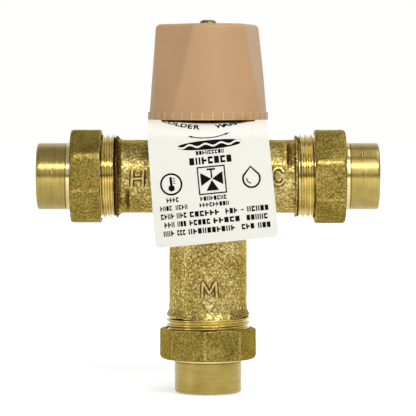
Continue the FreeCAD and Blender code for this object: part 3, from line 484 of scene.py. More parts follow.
def stroke(line, width, surface, height):
    """A raised stroke along points on a surface, sunk into it. A pair of widths makes it taper."""
    line = np.array(line, float)
    steps = [line[0]]
    for a, b in zip(line[:-1], line[1:]):
        count = max(1, int(np.hypot(*(b - a)) / 0.6))
        steps += [a + (b - a) * (k + 1) / count for k in range(count)]
    line = np.array(steps)
    along = np.gradient(line, axis=0)
    along /= np.hypot(along[:, 0], along[:, 1])[:, None]
    width = np.linspace(*width, len(line)) if np.ndim(width) else np.full(len(line), width)
    across = np.stack([-along[:, 1], along[:, 0]], axis=1) * width[:, None]
    line[0] -= along[0] * 0.4
    line[-1] += along[-1] * 0.4
    section = [(-0.5, -0.8), (-0.5, 0.55), (-0.32, 1.0), (0.32, 1.0), (0.5, 0.55), (0.5, -0.8)]
    rows = []
    for p, c in zip(line, across):
        rows += [surface(*(p + c * u), height * v) for u, v in section]
    count = len(section)
    faces = grid_faces(len(line), count, wrap_rows=False)
    faces += [list(range(count)), list(range(len(rows) - 1, len(rows) - 1 - count, -1))]
    return rows, faces


def arc(centre, radius_x, radius_y, start, end, count):
    turns = np.radians(np.linspace(start, end, count))
    return [(centre[0] + radius_x * math.cos(t), centre[1] + radius_y * math.sin(t)) for t in turns]


LETTER_M = [(-2.2, -46.6), (-2.0, -40.7), (0.5, -45.3), (3.0, -40.5), (3.3, -46.4)]
# the raised port letters H, C and M and the small arrow under the M: line, width and surface
RAISED_MARKS = (
    ([(-29.8, -3.8), (-29.5, 2.2)], 1.2, arm_point),
    ([(-25.5, -3.7), (-25.2, 2.5)], 1.2, arm_point),
    ([(-29.6, -0.6), (-25.4, -0.3)], 1.05, arm_point),
    (arc((27.4, 0.45), 2.45, 3.2, 36, 324, 22), 1.1, arm_point),
    (LETTER_M, 1.05, neck_point),
    ([(0.5, -50.0), (0.5, -52.4)], (3.6, 0.6), neck_point),
)


def raised_letters():
    """The port letters in lighter brass as a painted highlight, standing in a shallow outline painted dark
    as shade.
    """
    pieces = []
    for line, width, surface in RAISED_MARKS:
        outline = np.add(width, 0.9).tolist()
        # outline strips painted dark as shade, strokes in lighter brass as a painted highlight
        for wide, height, material in ((outline, 0.2, GROOVE_SHADE), (width, 0.62, LETTER_HIGHLIGHT)):
            rows, faces = stroke(line, wide, surface, height)
            pieces.append(new_object("letter_stroke", np.array(rows) * MM, faces, material, 50.0))
    return pieces


def from_axes(p):
    """Distances of points from the valve's axis and from the inlet axis."""
    return np.hypot(p[:, 0], p[:, 1]), np.hypot(p[:, 1], p[:, 2] - AXIS_Z)


def is_outside(p):
    """Which points are on the casting's outside, beyond the bores of the arms, neck and chest."""
    from_z, from_x = from_axes(p)
    on_neck = (p[:, 2] < AXIS_Z - 15) & (from_z > 15.0)
    return (from_x > 13.3) & (on_neck | (from_z > 17.4) | (np.abs(p[:, 0]) > 17))


def keep_faces(b, keep):
    """Delete the faces whose centres keep turns down."""
    mask = keep(np.array([f.calc_center_median()[:] for f in b.faces]) / MM)
    bmesh.ops.delete(b, geom=[f for f, kept in zip(list(b.faces), mask) if not kept], context="FACES")


SKIN_REACH = INLET_FACE + THREAD_START  # valve axis to where an arm's cast skin ends
SKIN_LOW = AXIS_Z - OUTLET_FACE - THREAD_START  # height at which the neck's cast skin ends
VOXEL = 0.48
PAD_EDGE = 31.4  # valve axis to the torn edge of the pads
# side, rise, dip, how far the dip lies past the edge, and the angles between which pad and dip stand
PADS = (
    (-1, 0.45, 0.85, 0.3, (8, 22, 66, 80), (8, 26, 60, 80)),
    (1, 0.5, 0.75, 0.2, (10, 20, 62, 78), (10, 26, 60, 78)),
)
COLLAR_R = (14.9, 15.9)  # radii between which a collar rises from its barrel
COLD_COLLAR_CUT = 1.3  # how much earlier the skin ends at the cold port


def closed_skin():
    """The casting's outside as a closed body, cut off where the threads start."""
    mesh = bpy.data.meshes.new("casting")
    with editing(mesh, NODES["valve_body"].data) as b:
        bmesh.ops.remove_doubles(b, verts=b.verts, dist=2e-6)
        keep_faces(b, is_outside)
        for point, normal in (
            ((SKIN_REACH, 0, AXIS_Z), (1, 0, 0)),
            ((-SKIN_REACH, 0, AXIS_Z), (-1, 0, 0)),
            ((0, 0, SKIN_LOW), (0, 0, -1)),
        ):
            every = list(b.verts) + list(b.edges) + list(b.faces)
            at = Vector(point) * MM
            bmesh.ops.bisect_plane(b, geom=every, plane_co=at, plane_no=normal, clear_outer=True)
        bmesh.ops.holes_fill(b, edges=[e for e in b.edges if e.is_boundary], sides=0)
        bmesh.ops.triangulate(b, faces=b.faces)
        bmesh.ops.recalc_face_normals(b, faces=b.faces)
    return mesh


def is_shown(p):
    """Which points of the closed skin aren't on the covers of its ends."""
    from_z, from_x = from_axes(p)
    end = (np.abs(p[:, 0]) > SKIN_REACH - 0.6) & (from_x < 13.6)
    bottom = (p[:, 2] < SKIN_LOW + 0.6) & (from_z < 13.6)
    top = (p[:, 2] > AXIS_Z + 19.0) & (from_z < 16.6)
    return ~(end | bottom | top)


def finely_divided(skin):
    """Remesh the skin to small even faces and take its end covers off."""
    modifier = skin.modifiers.new("remesh", "REMESH")
    modifier.mode = "VOXEL"
    modifier.voxel_size = VOXEL * MM
    bpy.context.view_layer.update()
    evaluated = skin.evaluated_get(bpy.context.evaluated_depsgraph_get())
    fine = bpy.data.meshes.new_from_object(evaluated)
    skin.modifiers.clear()
    skin.data = fine
    with editing(fine) as b:
        keep_faces(b, is_shown)
    return fine


def swell(value, start, full, fade, gone):
    """0 before start and after gone, 1 from full to fade."""
    return smooth(value, start, full) * (1 - smooth(value, fade, gone))


def cast_relief(p):
    """How far the cast grain and the two pads, broken off along a rough line, stand out."""
    x, from_x = p[:, 0], from_axes(p)[1]
    move = 0.05 * noise(p, 0.8, 1) + 0.03 * noise(p, 2.2, 2) + 0.09 * noise(p, 7.0, 3)
    angle = np.degrees(np.arctan2(p[:, 2] - AXIS_Z, -p[:, 1]))
    edge = PAD_EDGE + 0.4 * noise(p, 3.0, 4)
    on_arm = (from_x < 16.0) & (np.abs(x) > 17)
    for side, rise, dip, past, pad_angles, dip_angles in PADS:
        pad = (1 - smooth(side * x, edge - 0.35, edge + 0.35)) * swell(side * angle, *pad_angles)
        groove = np.exp(-(((side * x - edge - past) / 0.8) ** 2)) * swell(side * angle, *dip_angles)
        move += np.where(on_arm & (side * x > 0), rise * pad - dip * groove, 0)
    return move


def torn(p, lip, across, axial):
    """Points with the edge of a collar torn where lip is 1, and their directions out from its axis."""
    out = (p - (0, 0, AXIS_Z)) * across
    out /= np.maximum(np.linalg.norm(out, axis=1), 1e-6)[:, None]
    ragged = 0.22 * noise(p, 1.3, 6) + 0.28 * noise(p, 3.1, 7) - 0.1
    p = p + out * (ragged * lip)[:, None]
    return p + axial * (0.3 * noise(p, 1.7, 8) * lip)[:, None], out


def torn_collars(p, x, from_x, from_z):
    """Points with the collars' edges torn. x, from_x and from_z are from before the relief."""
    outward = np.sign(x)[:, None] * (1, 0, 0)
    lip = smooth(from_x, *COLLAR_R) * (np.abs(x) > 32.5)
    p = torn(p, lip, (0, 1, 1), outward)[0]
    p = p - outward * (COLD_COLLAR_CUT * lip * (x > 0))[:, None]

    # the neck's collar runs down over the first thread, furthest at the front
    down = np.array([0, 0, -1])
    lip = smooth(from_z, *COLLAR_R) * (p[:, 2] < SKIN_LOW + 3.6)
    p, out = torn(p, lip, (1, 1, 0), down)
    front = np.clip(-p[:, 1] / np.maximum(from_z, 1), 0, 1)
    lower = 1.3 + 1.5 * front**2
    wider = 0.35 + 0.3 * front
    return p + down * (lower * lip)[:, None] + out * (wider * lip)[:, None]


def is_machined(p):
    """Which points are inside the casting, apart from the threads and faces of the ports."""
    from_z, from_x = from_axes(p)
    port = (np.abs(p[:, 0]) > 35) & (from_x > 11.3)
    port |= (p[:, 2] < 33) & (from_z > 11.3)
    return ~is_outside(p) & ~port & (p[:, 2] < AXIS_Z + 19.4)


def machined_inside():
    """The bores and seats, as the solid has them."""
    mesh = bpy.data.meshes.new("casting_bores")
    with editing(mesh, NODES["valve_body"].data) as b:
        keep_faces(b, is_machined)
    mesh.materials.append(INNER)
    return add_object("casting_bores", mesh)


def casting():
    skin = add_object("casting", closed_skin())
    fine = finely_divided(skin)
    p = vectors(fine.vertices) / MM
    from_z, from_x = from_axes(p)
    relief = p + vectors(fine.vertices, "normal") * cast_relief(p)[:, None]
    torn_points = torn_collars(relief, p[:, 0], from_x, from_z) * MM
    fine.vertices.foreach_set("co", torn_points.ravel())
    fine.update()
    fine.materials.append(CAST)
    fine.shade_smooth()
    return joined([skin, machined_inside()] + raised_letters())


# ---- union nuts ----
NUT_STEPS = 336
NUT_R = 19.0  # over the turned corners
NUT_FLAT_R = 17.98  # axis to a flat
NUT_ROUND = 1.9
NUT_MOUTH_R = 13.62
NUT_THREAD_R = (16.72, 17.1)
NUT_CORNER_WEAR_AND_SHEEN = math.radians(1.5)


def flat_angle(node, place):
    """Angle of one of the nut's flats in its port's frame, read from the frame's own nut."""
    best = {}
    for face in NODES[node].data.polygons:
        n = np.array(face.normal)
        c, s = n @ place.front, n @ place.side
        if math.hypot(c, s) > 0.999 and face.area > 2e-6:
            key = round(math.degrees(math.atan2(s, c)), 1)
            best[key] = best.get(key, 0) + face.area
    return math.radians(max(best, key=best.get))


def nut_piece(port, seed, low, high, turn):
    """Octagonal nut from low to high along its port, turned by some degrees from its solid."""
    place = PORTS[port]
    node = port + "_union_nut"
    angle = turn_angles(NUT_STEPS)
    flat = flat_angle(node, place) + math.radians(turn)
    to_flat = (angle - flat + math.pi / 8) % (math.pi / 4) - math.pi / 8
    octagon = NUT_FLAT_R / np.cos(to_flat)
    # (place along the port, radius, on the rough outside)
    rows = [(low, 17.35, 0), (low + 0.06, 18.0, 1), (low + 0.22, 18.6, 1), (low + 0.5, 18.95, 1)]
    rows += [(s, NUT_R, 1) for s in spaced(low + 0.9, high - 2.0, 30)]
    worn_and_lit_end = len(rows) + 6
    for t in np.radians(np.linspace(8, 90, 11)):
        rounded = NUT_R - NUT_ROUND + NUT_ROUND * math.cos(t)
        rows.append((high - NUT_ROUND + NUT_ROUND * math.sin(t), rounded, 1))
    rows += [(high, 16.4, 0), (high, 15.4, 0), (high, 14.4, 0), (high - 0.02, 13.9, 0)]
    rows += [(high - 0.25, NUT_MOUTH_R, 0), (5.2, NUT_MOUTH_R, 0), (5.2, 16.7, 0)]
    crest, root = NUT_THREAD_R
    for k in range(round(4.4 - low)):
        rows += [(4.9 - k, crest, 0), (4.4 - k, root, 0)]
    rows += [(low + 0.3, 16.8, 0)]
    s, turned_r, outer = (np.array(column)[:, None] for column in zip(*rows))
    r = np.where(outer == 1, soft_min(turned_r, octagon, 0.16), turned_r)
    points = place.at(s, r, angle).reshape(-1, 3) / MM
    wave = 0.06 * noise(points, 6.0, seed) + 0.035 * noise(points, 1.6, seed + 1)
    wave += 0.02 * noise(points, 0.7, seed + 2)
    r = r + np.where(outer == 1, wave.reshape(r.shape), 0)
    faces = grid_faces(len(rows), len(angle))
    piece = new_object(port + "_nut", place.at(s, r, angle), faces, FORGED, 50.0)
    # corners and end rims lightened: worn brass with a painted highlight
    ragged = noise(points, 1.3, seed + 3).reshape(r.shape)
    corner = np.abs(to_flat) + np.radians(0.9) * ragged > math.pi / 8 - NUT_CORNER_WEAR_AND_SHEEN
    rim = (s < low + 0.42) & (r > 17.6)
    worn_and_lit = (outer == 1) & (corner | rim)
    worn_and_lit[worn_and_lit_end:] = False
    second_material(piece, EDGE_WEAR_AND_HIGHLIGHT, worn_and_lit)
    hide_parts(node)
    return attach(piece, node)


# ---- tails ----
TAIL_R = 13.15
TAIL_COLLAR_R = 13.4
TAIL_SOCKET_R = 11.15
TAIL_END = 20.8
TAIL_ROUND = 1.2
ARM_TAIL_CUT = 0.6
STAKE_PLACE = 13.5


def tail_piece(port, material, marks, cut=0.0):
    """Solder tail, shorter by cut. Its stake marks have an angle and half width in degrees, and a depth."""
    place = PORTS[port]
    node = port + "_tail"
    angle = turn_angles(ROUND_STEPS)
    tip = TAIL_END - cut
    rows = [(2.0, 9.5), (2.0, 12.0), (2.0, 14.9), (2.2, 15.2), (4.3, 15.2), (4.5, 15.0), (4.5, 13.42)]
    rows += [(s, TAIL_COLLAR_R) for s in spaced(4.8, 8.0, 8)]
    collar_end = len(rows) + 1
    rows += [(8.3, 13.36), (8.38, 13.2), (8.4, 12.86), (8.62, 12.84), (8.7, 13.05), (8.8, 13.14)]
    rows += [(s, TAIL_R) for s in spaced(9.1, tip - 1.4, 48)]
    for t in np.radians(np.linspace(10, 90, 9)):
        rounded = TAIL_R - TAIL_ROUND + TAIL_ROUND * math.cos(t)
        rows.append((tip - TAIL_ROUND + TAIL_ROUND * math.sin(t), rounded))
    rows += [(tip, 11.6), (tip - 0.08, 11.42), (tip - 0.4, 11.18)]
    rows += [(19.0, TAIL_SOCKET_R), (12.0, TAIL_SOCKET_R), (4.82, TAIL_SOCKET_R)]
    rows += [(4.8, 11.0), (4.8, 9.7), (4.6, 9.5)]
    s, r = (np.array(column)[:, None] + 0 * angle for column in zip(*rows))
    barrel = (r > 13.0) & (s > 9.5)
    from_stake = s - STAKE_PLACE
    for centre, half, depth in marks:
        close = np.abs((angle - math.radians(centre) + math.pi) % (2 * math.pi) - math.pi)
        reach = 1 - smooth(close, math.radians(half * 0.8), math.radians(half))
        dent = np.exp(-((from_stake / 0.16) ** 2)) * reach
        lip = np.exp(-(((np.abs(from_stake) - 0.36) / 0.14) ** 2)) * reach
        r = r + np.where(barrel, lip * depth * 0.4 - dent * depth, 0)
    points = place.at(s, r, angle).reshape(-1, 3) / MM
    r = r + np.where(barrel, 0.012 * noise(points, 4.0, 21).reshape(r.shape), 0)
    end = smooth(s, tip - 0.6, tip) * (r > 11.3)
    s = s - end * 0.05 * (1 + noise(points, 2.6, 23).reshape(r.shape))
    faces = grid_faces(len(rows), len(angle))
    piece = new_object(port + "_solder_tail", place.at(s, r, angle), faces, material, 40.0)
    on_collar = (np.arange(len(rows)) < collar_end) & (s[:, 0] > 6.0)
    second_material(piece, RIM, np.repeat(on_collar, len(angle)))
    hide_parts(node)
    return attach(piece, "valve")


# ---- cap ----
# heights above the inlet axis, and angles from the x axis
CAP_STEPS = 720
CAP_TURN = 13.7 - 90.0  # angle of the first flat's facing, less 60 degrees
CAP_LOW = 22.3
CAP_BAND_TOP = 25.45  # top of the ribbed band, where the taper starts
CAP_TOP = 59.85
CAP_ROUND = 1.75
CAP_WALL = 2.0
CAP_RIBS = 36
# down through the screw's hole, up and down the hub's walls and out to the skirt
CAP_INSIDE = [(59.7, 2.9), (59.6, 2.35), (49.0, 2.35), (49.0, 4.1), (57.0, 4.1), (57.0, 4.6)]
CAP_INSIDE += [(49.0, 4.6), (49.0, 7.2), (57.85, 7.4)]


def cap_outline(h, angle, inset):
    """Radius of the tapered cap with its three flats at a height."""
    t = (h - CAP_BAND_TOP) / (CAP_TOP - CAP_BAND_TOP)
    cone = 23.0 - 2.5 * t - inset
    r = cone + 0 * angle
    flat = 22.87 - 5.17 * t - inset
    for k in range(3):
        lean = np.cos(angle - math.radians(CAP_TURN + 60 + 120 * k))
        r = np.where(lean > 0.3, soft_min(r, flat / np.maximum(lean, 0.3), 0.14), r)
    return r


def cap_piece():
    angle = turn_angles(CAP_STEPS)
    h_rows, r_rows = [], []

    def row(h, r):
        h_rows.append(np.full(len(angle), h))
        r_rows.append(r + 0 * angle)

    rib = np.cos(CAP_RIBS * (angle - math.radians(4.5 - 90.0)))
    ribs = smooth(rib, 0.9, 0.975)
    row(CAP_LOW, 23.05)
    row(22.32, 23.3)
    row(22.42, 23.42 + 0.14 * ribs)
    for h in spaced(22.6, 25.1, 5):
        row(h, 23.45 + 0.24 * ribs)
    row(25.28, 23.42 + 0.2 * ribs)
    row(25.38, 23.33 + 0.1 * ribs)
    row(25.44, np.maximum(23.1, cap_outline(25.44, angle, -0.05)))
    for h in [25.6, 25.8] + spaced(26.5, 57.9, 30):
        row(h, cap_outline(h, angle, 0.0))
    for t in np.radians(np.linspace(12, 90, 10)):
        h = CAP_TOP - CAP_ROUND + CAP_ROUND * math.sin(t)
        row(h, cap_outline(h, angle, CAP_ROUND * (1 - math.cos(t))))
    waved_rows = len(h_rows) - 3
    top = cap_outline(CAP_TOP, angle, CAP_ROUND)
    for share in (0.9, 0.75, 0.5, 0.3):
        row(CAP_TOP - 0.12 * (1 - share), 2.4 + (top - 2.4) * share)
    for h, r in CAP_INSIDE:
        row(h, r)
    for h in (57.85, 50.0, 40.0, 30.0, CAP_BAND_TOP, CAP_LOW):
        row(h, cap_outline(h, angle, CAP_WALL) - (0.3 if h > 57 else 0))
    h, r = np.array(h_rows), np.array(r_rows)
    even = about_valve(r, angle, h + AXIS_Z).reshape(-1, 3)
    wave = 0.03 * noise(even, 9.0, 31).reshape(r.shape)
    waved = (r > 15) & (np.arange(len(r))[:, None] < waved_rows)
    r = r + np.where(waved, wave - 0.02, 0)
    points = about_valve(r, angle, h + AXIS_Z)
    piece = new_object("tapered_cap", points * MM, grid_faces(len(r), len(angle)), CAP, 32.0)
    # painted highlight on the ribs and the rim's lower edge
    rib_and_rim_highlight = (np.roll(ribs, -1) + ribs > 0.9) & (h > 22.5) & (h < 25.3) & (r > 23.5)
    rib_and_rim_highlight |= (h > 22.25) & (h < 22.5) & (r > 23.2)
    second_material(piece, CAP_RIB_HIGHLIGHT, rib_and_rim_highlight)
    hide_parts("cap")
    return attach(piece, "cap")


# ---- tag ----
FOLD_R = 6.5
FOLD_START = 20.5  # valve axis to where the sheet starts to bend down
FOLD_LENGTH = FOLD_R * math.pi / 2
TILT = math.radians(5.5)  # how far the panel hangs to the right of plumb
TAG_SHIFT = -0.2
TAG_SCALE = 1.014
TAG_HALF = 23.0
TAG_LENGTH = 44.3
TAG_CORNER_R = 1.6
TAG_T = 0.5
TAG_BACK = 20.8  # valve axis to the deck's back edge
DECK_H = 20.0  # top of the deck above the inlet axis
DECK_FRONT = 17.6  # valve axis to where the deck meets the strip
HOLE_R = 15.7
PANEL_START = 4.86  # from the start of the fold to the origin of the panel's own length
SETBACK = 0.06  # how much nearer to the valve the panel hangs, per radian of the fold


def unrolled(a, b):
    """From the tag's own width and length to the plane in which its sheet would lie flat."""
    a, b = a * TAG_SCALE, b * TAG_SCALE
    x = TAG_SHIFT + a * math.cos(TILT) + b * math.sin(TILT)
    q = PANEL_START + b * math.cos(TILT) - a * math.sin(TILT)
    return x, q


def unrolled_line(points):
    points = np.array(points, float)
    return np.stack(unrolled(points[:, 0], points[:, 1]), axis=1)


def on_sheet(x, q, lift):
    """The folded sheet: q runs outward over the deck, round the fold and down the panel."""
    x, q = np.broadcast_arrays(np.asarray(x, float), np.asarray(q, float))
    saddle = 1.25 * (x / TAG_HALF) ** 2 * (1 - smooth(q, 2.0, 16.0))
    crown = DECK_H + 1.15 * smooth(q, -5.0, 0.5)
    top = crown + saddle * smooth(q, -7.0, 0.0)
    turn = np.clip(q / FOLD_R, 0, math.pi / 2)
    down = np.maximum(q - FOLD_LENGTH, 0)
    y = -(FOLD_START + np.minimum(q, 0) + FOLD_R * np.sin(turn))
    h = top - FOLD_R * (1 - np.cos(turn)) - down
    bow = 0.22 * np.sin(np.clip(down / 34.0, 0, 1) * math.pi) * (1 - (x / 24.0) ** 2)
    y = y + bow + SETBACK * turn
    normal_y, normal_h = -np.sin(turn), np.cos(turn)
    return np.stack([x, y + lift * normal_y, AXIS_Z + h + lift * normal_h], axis=-1) * MM


def tag_sheet():
    """The hanging panel with its fold and the strip behind it."""
    columns = np.linspace(-1, 1, 61)
    rows = np.concatenate([np.linspace(-8.0, 10.0, 37)[:-1], np.linspace(10.0, TAG_LENGTH, 50)])
    b = rows[:, None] + 0 * columns
    below = np.clip((b - (TAG_LENGTH - TAG_CORNER_R)) / TAG_CORNER_R, 0, 1)
    half = TAG_HALF - TAG_CORNER_R * (1 - np.sqrt(np.maximum(1 - below**2, 0)))
    # cut a little out of square: wider to the left low down, and narrower to the right high up
    down = np.clip(b / TAG_LENGTH, 0, 1)
    a = columns * half - 0.6 * (1 - columns) * down - 0.2 * (1 + columns) * (1 - down)
    x, q = unrolled(a, b)
    # above the fold the strip runs straight back under the cap
    straight = smooth(-b, -6.0, 4.0)
    x = x * (1 - straight) + (TAG_SHIFT + a) * straight
    q = q * (1 - straight) + (PANEL_START + b) * straight
    front = on_sheet(x, q, 0.0)
    back = on_sheet(x, q, -TAG_T)
    count = b.size
    faces = grid_faces(*b.shape, wrap_rows=False, wrap_columns=False)
    faces += grid_faces(*b.shape, wrap_rows=False, wrap_columns=False, first=count)
    index = np.arange(count).reshape(b.shape)
    rim = np.concatenate([index[0, :-1], index[:-1, -1], index[-1, :0:-1], index[:0:-1, 0]]).tolist()
    faces += [[k, n, n + count, k + count] for k, n in zip(rim, rim[1:] + rim[:1])]
    return new_object("hanging_tag", [front, back], faces, TAG, 40.0)


def tag_deck():
    """The part under the bonnet, round the hole."""
    angle = turn_angles(160)
    across = np.maximum(np.abs(np.cos(angle)), 1e-6)
    ahead = np.maximum(np.abs(np.sin(angle)), 1e-6)
    reach = np.minimum(TAG_HALF / across, DECK_FRONT / ahead)
    reach = np.where(np.sin(angle) < 0, reach, TAG_BACK)
    reach = np.where(np.abs(np.sin(angle)) < 0.35, np.minimum(reach, 22.0), reach)
    rows = []
    for share, level in ((0, 0), (0.5, 0), (1, 0), (1, -TAG_T), (0.5, -TAG_T), (0, -TAG_T)):
        r = HOLE_R + (reach - HOLE_R) * share
        rows.append(about_valve(r, angle, AXIS_Z + DECK_H + level))
    return new_object("tag_deck", np.array(rows) * MM, grid_faces(6, len(angle)), TAG, 40.0)


def tag_piece():
    piece = joined([tag_sheet(), tag_deck()])
    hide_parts("label_tag")
    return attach(piece, "valve")


INK_LIFT = 0.045


class Print:
    """Flat ink shapes laid on the sheet."""

    def __init__(self):
        self.points = []
        self.faces = []

    def patch(self, points, faces):
        first = len(self.points)
        self.points += [tuple(p) for p in points]
        self.faces += [[first + i for i in f] for f in faces]

    def strip(self, left, right):
        """A band between two lines of points in the flat plane."""
        sides = [np.array(side, float) for side in (left, right)]
        points = np.vstack([on_sheet(side[:, 0], side[:, 1], INK_LIFT) for side in sides])
        n = len(sides[0])
        self.patch(points, [[k, k + 1, n + k + 1, n + k] for k in range(n - 1)])

    def line(self, points, width, on_tag=True, closed=False):
        """A line of even width, in the tag's own width and length or in the flat plane."""
        p = np.array(points, float)
        if closed:
            p = np.vstack([p, p[:1]])
        along = np.gradient(p, axis=0)
        if closed:
            along[0] = along[-1] = p[1] - p[-2]
        along /= np.maximum(np.hypot(along[:, 0], along[:, 1]), 1e-9)[:, None]
        across = np.stack([-along[:, 1], along[:, 0]], axis=1) * width / 2
        sides = [p + across, p - across]
        if on_tag:
            sides = [unrolled_line(side) for side in sides]
        self.strip(*sides)

    def bar(self, a, b, width, height):
        """A filled block with its centre at a, b."""
        count = max(2, int(width) + 1)
        at = np.linspace(a - width / 2, a + width / 2, count)
        edges = [np.full(count, b + side * height / 2) for side in (-1, 1)]
        self.strip(*[unrolled_line(np.stack([at, edge], axis=1)) for edge in edges])

    def fan(self, outline):
        """A filled convex outline."""
        p = unrolled_line(outline)
        self.patch(on_sheet(p[:, 0], p[:, 1], INK_LIFT), [list(range(len(p)))])

    def words(self, a_start, a_end, b, height, count, weight=0.3):
        """A printed line of plain cells in four simple shapes, none of them a letter."""
        cell = (a_end - a_start) / count
        for k in range(count):
            a = a_start + (k + 0.5) * cell
            kind = int(random.integers(0, 4))
            w, t = cell * 0.78, height * weight
            if kind == 0:
                self.bar(a, b, w, height)
            elif kind == 1:
                self.bar(a - w * 0.32, b, w * 0.36, height)
                self.bar(a + w * 0.32, b, w * 0.36, height)
            elif kind == 2:
                self.bar(a, b - height / 2 + t / 2, w, t)
                self.bar(a, b + height / 2 - t / 2, w, t)
                self.bar(a - w * 0.3, b, w * 0.4, height - 2 * t)
            else:
                self.bar(a - w * 0.28, b, w * 0.44, height)
                self.bar(a + w * 0.2, b, w * 0.6, t)


def curved_word(ink, word, centre, radius, start, end, size):
    """A word on an arc, one letter at a time, cut fine to follow the fold."""
    turns = np.radians(np.linspace(start, end, len(word)))
    for letter, t in zip(word, turns):
        curve = bpy.data.curves.new("letter", "FONT")
        curve.body = letter
        curve.size = size
        curve.offset = 0.13
        curve.resolution_u = 3
        curve.align_x = "CENTER"
        flat = add_object("letter", curve)
        mesh = bpy.data.meshes.new_from_object(flat)
        with editing(mesh) as b:
            for normal, step in (((0, 1, 0), 0.2), ((1, 0, 0), 0.4)):
                for k in range(-10, 26):
                    every = list(b.verts) + list(b.edges) + list(b.faces)
                    at = Vector(normal) * k * step
                    bmesh.ops.bisect_plane(b, geom=every, plane_co=at, plane_no=normal)
        p = vectors(mesh.vertices)
        out = radius - p[:, 1]
        side = p[:, 0] * 1.05
        x = centre[0] + out * math.sin(t) + side * math.cos(t)
        q = centre[1] + out * math.cos(t) - side * math.sin(t)
        ink.patch(on_sheet(x, q, INK_LIFT), [list(f.vertices) for f in mesh.polygons])
        bpy.data.batch_remove([flat, curve, mesh])


def ring(centre, r, count):
    return arc(centre, r, r, 0, 360 - 360 / count, count)


def double_arrow(ink):
    """A bent arrow with a head at each end, just below the fold."""
    at = np.linspace(-7.0, 7.5, 30)
    bend = [(x, 9.35 - 0.02 * (x + 2.0) ** 2) for x in at]
    ink.line(bend, 0.36, on_tag=False)
    for tip, inner in ((bend[0], bend[2]), (bend[-1], bend[-3])):
        d = np.array(tip) - np.array(inner)
        c = np.array([-d[1], d[0]]) * 0.4
        along = np.array([np.array(inner) + d * 1.9 * k for k in np.linspace(0, 1, 8)])
        width = np.linspace(1, 0.02, 8)[:, None]
        ink.strip(along + c * width, along - c * width)


def water_band(ink):
    """A lens of ink with a ripple left open across it."""
    middle = 7.0
    wave = np.linspace(-12.0, 12.2, 49)
    bulge = 1.75 * np.sqrt(np.maximum(0.0, 1 - (wave / 12.6) ** 2))
    ripple = 0.5 * np.sin(wave * 1.05)
    for upper, lower in ((middle - bulge, middle - 0.4 + ripple), (middle + 0.35 + ripple, middle + bulge)):
        filled = np.flatnonzero(lower > upper)
        for run in np.split(filled, np.where(np.diff(filled) > 1)[0] + 1):
            ink.strip(*[unrolled_line(np.stack([wave, side], axis=1)[run]) for side in (upper, lower)])


def valve_symbol(ink, a, b):
    """A three-way valve symbol in a square frame."""
    half = 5.1
    for side in (-1, 1):
        ink.bar(a, b + side * half, 2 * half + 0.5, 0.5)
        ink.bar(a + side * half, b, 0.5, 2 * half + 0.5)
        ink.fan([(a + side * 4.2, b - 3.0), (a + side * 0.2, b - 0.5), (a + side * 4.2, b + 2.0)])
    ink.fan([(a, b), (a + 2.4, b + 4.0), (a - 2.4, b + 4.0)])
    ink.bar(a, b - 2.4, 0.6, 3.2)
    ink.bar(a, b - 4.1, 3.2, 0.7)


def thermometer(ink, a, b):
    """A thermometer in a ring."""
    ink.line(ring((a, b), 3.9, 48), 0.7, closed=True)
    ink.bar(a, b - 1.0, 0.95, 3.5)
    ink.fan(ring((a, b + 1.5), 1.2, 20)[:-1])
    for k in range(3):
        ink.bar(a + 1.15, b - 2.1 + 0.9 * k, 0.85, 0.32)


def drop(ink, a, b):
    """The outline of a drop with a glint in it."""
    ink.line([(a, b - 4.6)] + arc((a, b), 3.2, 3.3, -28, 208, 26), 0.7, closed=True)
    ink.line(arc((a, b), 1.75, 1.75, 100, 190, 12), 0.42)


# place down the panel, height of the cells, and the words' start, end and cells
SMALL_WORDS = (
    (26.6, 1.8, ((-18.3, -13.5, 4),)),
    (29.6, 1.8, ((-21.0, -16.3, 4), (-15.1, -10.4, 4))),
    (27.2, 1.6, ((-5.5, 4.8, 8),)),
    (29.6, 1.6, ((-6.0, 5.4, 9),)),
)
WIDE_WORDS = (
    (32.7, ((-21.0, -15.8, 4), (-15.0, -11.0, 3), (-10.1, 1.4, 6), (3.5, 8.35, 3), (11.8, 20.2, 5))),
    (35.9, ((-20.0, -15.9, 3), (-15.0, -11.5, 3), (-10.5, -2.3, 5), (-1.4, 9.0, 5), (11.3, 19.6, 5))),
    (39.2, ((-20.6, -16.4, 3), (-15.4, -12.1, 3), (-11.2, 6.8, 10), (9.1, 14.2, 3), (15.3, 20.4, 3))),
)


def tag_print():
    ink = Print()
    word_centre = (-2.0, -28.75)
    curved_word(ink, "COLDER", word_centre, 34.5, -25.4, -4.3, 3.6)
    curved_word(ink, "WARMER", word_centre, 34.3, 11.7, 31.8, 3.5)
    double_arrow(ink)
    water_band(ink)
    ink.words(-5.5, 5.35, 9.75, 1.5, 9)
    ink.words(-8.4, 8.1, 12.8, 2.7, 7)
    valve_symbol(ink, -0.3, 20.4)
    thermometer(ink, -15.8, 20.6)
    drop(ink, 14.7, 21.3)
    for b, height, words in SMALL_WORDS:
        for start, end, count in words:
            ink.words(start, end, b, height, count)
    for b, words in WIDE_WORDS:
        for start, end, count in words:
            ink.words(start, end, b, 2.05, count, 0.32)
    ink.bar(10.15, WIDE_WORDS[0][0], 1.0, 0.45)
    piece = new_object("tag_print", np.array(ink.points), ink.faces, INK, 60.0)
    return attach(piece, "valve")


